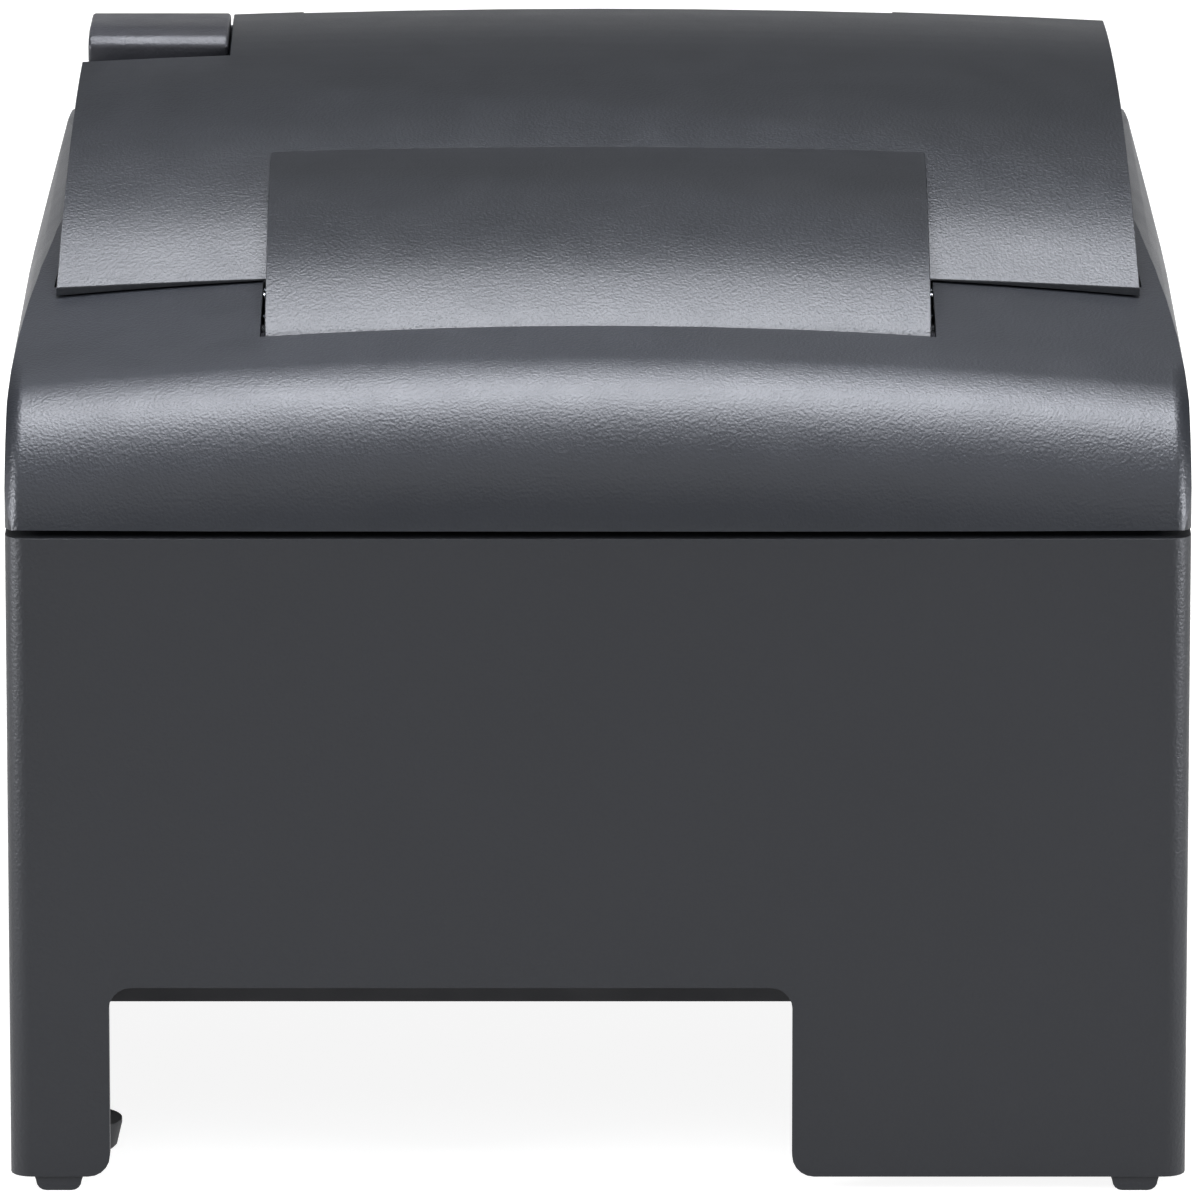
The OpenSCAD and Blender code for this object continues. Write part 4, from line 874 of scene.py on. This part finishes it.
@dataclass
class SubAssembly:
    """Part of the printer: shells made anew, and pieces that keep the shapes they were packed with.

    Attributes:
        carried: the pieces that keep their shapes, with their finishes.
    """

    carried: Coats = ()

    def shells(self) -> tuple[Shell, ...]:
        """Gives the shells that are made anew."""
        return ()

    def build(self, nodes: Nodes, paint: PaintShop) -> list[Piece]:
        """Dresses the carried pieces, then makes the shells.

        Args:
            nodes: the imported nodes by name.
            paint: gives the finishes.

        Returns:
            The new pieces.
        """
        for node, slot in self.carried:
            paint.coat(nodes[node], slot)
        return [shell.build(nodes[shell.node], paint) for shell in self.shells()]


@dataclass
class Case(SubAssembly):
    """The fixed case: lower case, base tray, upper case, feet and screws.

    Attributes:
        rear: place of the rear face along Y in millimetres.
        seam: heights of the lower case's top edge and of the upper case's bottom edge.
        ground: height of the lower case's bottom edge.
        corner: radius in millimetres of the soft corner between the hood's rear and its sides.
        corner_end: how far along Y that corner runs.
        hood_sheen: slopes of the hood with the slopes that the light is given, in degrees.
    """

    rear: float = -124.0
    seam: tuple[float, float] = (91.2, 92.2)
    ground: float = 2.0
    corner: float = 2.2
    corner_end: float = -96.0
    hood_sheen: Pairs = (
        (0.0, 0.0), (6.0, 3.0), (9.0, 5.0), (9.76, 8.0), (12.0, 12.0), (15.0, 15.5),
        (25.0, 25.0), (45.0, 44.5), (60.0, 58.0), (75.0, 73.5), (90.0, 90.0),
    )
    carried: Coats = (
        ("base_plate", "base"), ("rubber_feet", "rubber"), ("case_screws", "screw"),
    )

    def hood_skin(self) -> CrownedSkin:
        """Gives the upper case's skin: two wide arcs, each with a rounded top edge."""
        peak, top, crown = -4.0, 121.0, 800.0
        rear_r, front_r, edge_r, front_edge_r = 600.0, 420.0, 22.0, 14.0
        rear_y, front_y = self.rear + edge_r, -self.rear - front_edge_r
        rear_z = top - rear_r + math.sqrt((rear_r - edge_r) ** 2 - (peak - rear_y) ** 2)
        front_z = top - front_r + math.sqrt((front_r - front_edge_r) ** 2 - (front_y - peak) ** 2)
        rear_turn = (peak - rear_y) / (rear_r - edge_r)
        front_turn = (front_y - peak) / (front_r - front_edge_r)
        rear_join, front_join = rear_y - edge_r * rear_turn, front_y + front_edge_r * front_turn
        return CrownedSkin(
            crown, top,
            (
                Arc(rear_y, rear_z, edge_r, self.rear, rear_join),
                Arc(peak, top - rear_r, rear_r, rear_join, peak),
                Arc(peak, top - front_r, front_r, peak, front_join),
                Arc(front_y, front_z, front_edge_r, front_join, -self.rear),
            ),
            sheen=self.hood_sheen, roll=self.corner, roll_end=self.corner_end,
        )

    def lower_rims(self, edge: Edge, skinned: bool) -> bool:
        """Picks the lower case's outer top and bottom edges, and the notch's edge."""
        notch_top = 40.0
        in_rear = all(abs(p.y - self.rear) < LEVEL and p.z < notch_top for p in places(edge))
        return in_rear or level_at(edge, self.seam[0]) or level_at(edge, self.ground)

    def upper_rims(self, edge: Edge, skinned: bool) -> bool:
        """Picks the hood's edges, apart from the slot for the lid's middle and the soft rear corners."""
        slot_half, slot_end, side, fading = 48.0, -70.0, 76.0, self.corner_end - CrownedSkin.roll_fade
        in_slot = all(abs(p.x) < slot_half and p.y < slot_end for p in places(edge))
        in_corner = all(abs(p.x) > side and p.y < fading for p in places(edge))
        return level_at(edge, self.seam[1]) or (skinned and not in_slot and not in_corner)

    def shells(self) -> tuple[Shell, ...]:
        """Gives the two halves of the case. The hood's mesh is cut finer at its soft rear corners."""
        lower = Shell("lower_case", Body.HOUSING, "case", rounds=((THIN_RIM, self.lower_rims),))
        upper = Shell(
            "upper_case", Body.HOUSING, "hood", (self.hood_skin(),), ((RIM, self.upper_rims),),
            rows=tuple(range(-123, -86)), columns=(77.8, 78.35, 78.9, 79.45),
        )
        return lower, upper


@dataclass
class Covers(SubAssembly):
    """The two hinged covers and the lever that opens them.

    Attributes:
        ridge: height of the roll cover's highest point in millimetres.
        uncrowned: radius that stands for no crown at all.
        lid_sheen: slopes of the roll cover with the slopes that the light is given, in degrees.
        middle_sheen: the same for its raised middle.
    """

    ridge: float = 138.5
    uncrowned: float = 1e6
    lid_sheen: Pairs = (
        (-6.0, -10.0), (9.0, -7.0), (15.0, 4.0), (20.0, 11.5), (22.5, 14.0), (25.0, 18.5), (26.5, 22.5),
        (28.0, 26.5), (29.5, 28.5), (31.5, 29.5),
    )
    middle_sheen: Pairs = (
        (-8.0, -12.0), (5.0, -9.0), (8.0, -4.0), (12.0, 4.0), (15.0, 7.0), (18.0, 9.0), (21.4, 10.5),
        (24.0, 13.5), (27.0, 19.0), (29.0, 23.0), (31.0, 26.0), (33.0, 28.0), (62.0, 34.0), (90.0, 90.0),
    )
    carried: Coats = (
        ("roll_cover_pins", "pin"), ("front_cover_pins", "pin"), ("cover_paper_guide", "inner"),
        ("platen", "inner"), ("pressure_shaft", "shaft"), ("pressure_rubber", "roller"),
        ("lever_pin", "shaft"),
    )

    def lid_skins(self) -> tuple[CrownedSkin, ...]:
        """Gives the roll cover's skins: the wide arc, and the raised middle down to its rounded lip."""
        hinge_y, hinge_z, bump_y, bump_z, bump_r = -86.5, 110.0, -44.0, 44.4, 85.0
        lid_y, lid_r, lid_rear, lid_front = 4.0, 150.0, -73.6, 6.4
        bump_front, bump_half, crown = -36.0, 45.6, 1400.0
        barrel = bump_r - math.hypot(hinge_y - bump_y, hinge_z - bump_z)
        turn = math.atan2(hinge_z - bump_z, hinge_y - bump_y)
        join = bump_y + bump_r * math.cos(turn)
        lid = Arc(lid_y, self.ridge - lid_r, lid_r, lid_rear, lid_front)
        lip = Arc(hinge_y, hinge_z, barrel, hinge_y - barrel, join)
        bump = Arc(bump_y, bump_z, bump_r, join, bump_front)
        return (
            CrownedSkin(crown, self.ridge, (lid,), sheen=self.lid_sheen),
            CrownedSkin(crown, self.ridge, (lip, bump), bump_half, self.middle_sheen),
        )

    def front_skin(self) -> CrownedSkin:
        """Gives the front cover's skin: one wide arc and its hinge barrel."""
        cy, radius, barrel, turn = -28.0, 230.0, 6.5, math.radians(63)
        ridge, rear = 138.3, 13.6
        cz = ridge - radius
        hinge_y, hinge_z = cy + (radius - barrel) * math.cos(turn), cz + (radius - barrel) * math.sin(turn)
        join = cy + radius * math.cos(turn)
        top = Arc(cy, cz, radius, rear, join)
        lip = Arc(hinge_y, hinge_z, barrel, join, hinge_y + barrel)
        return CrownedSkin(self.uncrowned, ridge, (top, lip))

    def lever_rims(self, edge: Edge, skinned: bool) -> bool:
        """Picks the edges of the lever's pad."""
        pad_low = 133.5
        return all(p.z > pad_low for p in places(edge))

    def shells(self) -> tuple[Shell, ...]:
        """Gives the roll cover, the front cover and the lever."""
        lid = Shell(
            "roll_cover", Body.ROLL_COVER, "cover", self.lid_skins(), ((RIM, on_skins),),
            rows=tuple(range(-92, 4, 3)),
        )
        front = Shell(
            "front_cover", Body.FRONT_COVER, "cover", (self.front_skin(),), ((WIDE_RIM, on_skins),)
        )
        lever = Shell("open_lever", Body.OPEN_LEVER, "lever", rounds=((RIM, self.lever_rims),))
        return lid, front, lever


@dataclass
class Works(SubAssembly):
    """What the case and the covers hide: cable bay, paper path, print drive, feed drive and boards."""

    carried: Coats = (
        ("connector_panel", "plated"), ("power_jack", "connector"), ("drawer_jack", "connector"),
        ("data_connector", "plated"), ("interface_board", "pcb"), ("main_board", "pcb"),
        ("board_components", "chip"), ("roll_bucket", "inner"), ("side_frame_left", "plated"),
        ("side_frame_right", "plated"), ("chassis_plate", "plated"), ("tear_bar", "blade"),
        ("feed_shaft", "shaft"), ("feed_rubber", "roller"), ("feed_bushes", "acetal"),
        ("feed_gear", "acetal"), ("idler_gear", "acetal"), ("motor_pinion", "brass"),
        ("feed_motor", "motor"), ("carriage_shaft", "shaft"), ("carriage_rail", "plated"),
        ("carriage", "inner"), ("print_head", "head"), ("head_heatsink", "heatsink"),
        ("timing_belt", "belt"), ("motor_pulley", "brass"), ("idler_pulley", "acetal"),
        ("carriage_motor", "motor"), ("ribbon_cassette", "cassette"), ("ink_ribbon", "ribbon"),
        ("ribbon_knob", "knob"), ("frame_screws", "screw"),
    )


@dataclass
class Controls(SubAssembly):
    """The control panel, its board, lenses and button, and the power switch."""

    carried: Coats = (
        ("control_panel", "panel"), ("panel_board", "pcb"), ("status_lenses", "lens"),
        ("feed_button", "button"), ("power_switch_body", "switch"), ("power_rocker", "switch"),
        ("panel_screws", "screw"),
    )


# ---- studio


@dataclass(frozen=True)
class Lamp:
    """One soft rectangular lamp.

    Attributes:
        name: the lamp's name.
        place: where it hangs, in metres.
        size: its width and its height.
        power: its power in watts.
        lights: False for a lamp that is only mirrored and adds no light to matt surfaces.
        colour: the light's colour.
    """

    name: str
    place: tuple[float, float, float]
    size: tuple[float, float]
    power: float
    lights: bool = True
    colour: tuple[float, float, float] = WHITE

    def hang(self, target: Vector) -> None:
        """Hangs the lamp, turned to the target."""
        data = bpy.data.lights.new(self.name, "AREA")
        data.shape = "RECTANGLE"
        data.size, data.size_y = self.size
        data.energy = self.power
        data.color = self.colour
        lamp = bpy.data.objects.new(self.name, data)
        lamp.location = self.place
        lamp.rotation_euler = (target - Vector(self.place)).to_track_quat("-Z", "Y").to_euler()
        lamp.visible_camera = False
        lamp.visible_diffuse = self.lights
        bpy.context.scene.collection.objects.link(lamp)


@dataclass
class Studio:
    """Camera, floor, backdrop and lamps.

    Attributes:
        elevation: the camera's height above the horizon in degrees.
        distance: from the camera to the point it looks at, in metres.
        aim: that point.
        lens: focal length in millimetres on a 36 mm wide sensor.
        shift: how far the frame is moved sideways.
        sweep: heights above the horizon, in degrees, where the white sweep starts to fade and ends.
        ceiling: brightness of the room above the sweep.
        board: the floor's own tone, which takes the shadow.
        lift: light added to the floor where it is looked at.
        board_half: half the floor's width in metres.
        edge: the point that the lamps face.
        lamps: a wide lamp overhead, one high in front and one at each side, and the broader glows that the
            plastic mirrors behind them.
    """

    elevation: float = 13.5
    distance: float = 1.9
    aim: tuple[float, float, float] = (0.0, -0.124, 0.08317)
    lens: float = 422.94
    shift: float = 2 / 1200
    sweep: tuple[float, float] = (4.0, 9.0)
    ceiling: float = 0.2
    board: str = "#a8a8a8"
    lift: float = 0.9
    board_half: float = 8.0
    edge: tuple[float, float, float] = (0.0, -0.11, 0.11)
    lamps: tuple[Lamp, ...] = (
        Lamp("overhead_lamp", (0.0, 0.145, 1.31), (1.0, 0.66), 15.0),
        Lamp("overhead_glow", (0.0, 0.152, 1.34), (1.0, 0.64), 36.0, lights=False, colour=COOL),
        Lamp("front_lamp", (0.0, -1.65, 1.39), (1.2, 0.9), 8.0),
        Lamp("left_lamp", (-1.5, -0.59, 0.62), (0.45, 0.7), 18.0),
        Lamp("left_glow", (-1.53, -0.6, 0.63), (0.6, 0.8), 36.0, lights=False, colour=COOL),
        Lamp("right_lamp", (1.5, -0.59, 0.62), (0.45, 0.7), 18.0),
        Lamp("right_glow", (1.53, -0.6, 0.63), (0.6, 0.8), 36.0, lights=False, colour=COOL),
    )

    def camera(self) -> None:
        """Makes the camera that matches the photograph's view."""
        turn = math.radians(self.elevation)
        data = bpy.data.cameras.new("studio_camera")
        data.lens, data.sensor_width = self.lens, 36.0
        data.shift_x = self.shift
        data.clip_start, data.clip_end = 0.05, 60.0
        camera = bpy.data.objects.new("studio_camera", data)
        camera.location = (
            self.aim[0],
            self.aim[1] - self.distance * math.cos(turn),
            self.aim[2] + self.distance * math.sin(turn),
        )
        camera.rotation_euler = (math.radians(90) - turn, 0.0, 0.0)
        bpy.context.scene.collection.objects.link(camera)
        bpy.context.scene.camera = camera

    def seen_ray(self, tree: Tree) -> Socket:
        """Gives 1 for rays by which the backdrop is looked at, mirrored or seen through something."""
        path = add_node(tree, "LightPath")
        mirrored = add_node(
            tree, "Math", {"operation": "ADD"},
            {0: path.outputs["Is Glossy Ray"], 1: path.outputs["Is Transmission Ray"]},
        )
        total = add_node(
            tree, "Math", {"operation": "ADD", "use_clamp": True},
            {0: path.outputs["Is Camera Ray"], 1: mirrored.outputs["Value"]},
        )
        return total.outputs["Value"]

    def room(self) -> None:
        """Makes the room: a low white sweep round the floor, under a dim ceiling that fills the shadows."""
        world = bpy.data.worlds.new("white_sweep")
        world.use_nodes = True
        tree = world.node_tree
        tree.nodes.clear()
        direction = add_node(tree, "TexCoord").outputs["Generated"]
        height = add_node(tree, "SeparateXYZ", {}, {"Vector": direction}).outputs["Z"]
        low, high = (math.sin(math.radians(a)) for a in self.sweep)
        strength = add_node(
            tree, "MapRange",
            {
                "interpolation_type": "SMOOTHSTEP", "From Min": low, "From Max": high,
                "To Min": 1.0, "To Max": self.ceiling,
            },
            {"Value": height},
        )
        light = add_node(
            tree, "Background", {"Color": (*WHITE, 1.0)}, {"Strength": strength.outputs["Result"]}
        )
        add_node(tree, "OutputWorld", {}, {"Surface": light.outputs["Background"]})
        bpy.context.scene.world = world

    def floor(self) -> None:
        """Makes the plain white floor, lifted to white where it is looked at, with the shadow kept."""
        form = bmesh.new()
        bmesh.ops.create_grid(form, x_segments=1, y_segments=1, size=self.board_half)
        mesh = bpy.data.meshes.new("studio_floor")
        form.to_mesh(mesh)
        form.free()
        material = bpy.data.materials.new("matt_white_board")
        material.use_nodes = True
        tree = material.node_tree
        tree.nodes.clear()
        board = add_node(tree, "BsdfDiffuse", {"Color": linear(self.board)})
        lift = add_node(tree, "Math", {"operation": "MULTIPLY", 1: self.lift}, {0: self.seen_ray(tree)})
        glow = add_node(tree, "Emission", {}, {"Strength": lift.outputs["Value"]})
        both = add_node(tree, "AddShader", {}, {0: board.outputs["BSDF"], 1: glow.outputs["Emission"]})
        add_node(tree, "OutputMaterial", {}, {"Surface": both.outputs["Shader"]})
        mesh.materials.append(material)
        floor = bpy.data.objects.new("studio_floor", mesh)
        bpy.context.scene.collection.objects.link(floor)

    def build(self) -> None:
        """Sets up the whole studio."""
        scene = bpy.context.scene
        scene.view_settings.view_transform = "Standard"
        self.camera()
        self.room()
        self.floor()
        for lamp in self.lamps:
            lamp.hang(Vector(self.edge))


def report(pieces: Iterable[Piece]) -> None:
    """Logs each piece with its size in triangles."""
    for piece in pieces:
        piece.data.calc_loop_triangles()
        LOG.info("%s has %d triangles", piece.name, len(piece.data.loop_triangles))


def main() -> None:
    """Builds the studio and every sub-assembly in order, and notes the size of each new piece."""
    logging.basicConfig(level=logging.INFO, format="%(name)s: %(message)s")
    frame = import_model()
    Studio().build()
    paint = PaintShop()
    for sub_assembly in (Case(), Covers(), Works(), Controls()):
        report(sub_assembly.build(frame["nodes"], paint))


if __name__ == "__main__":
    main()
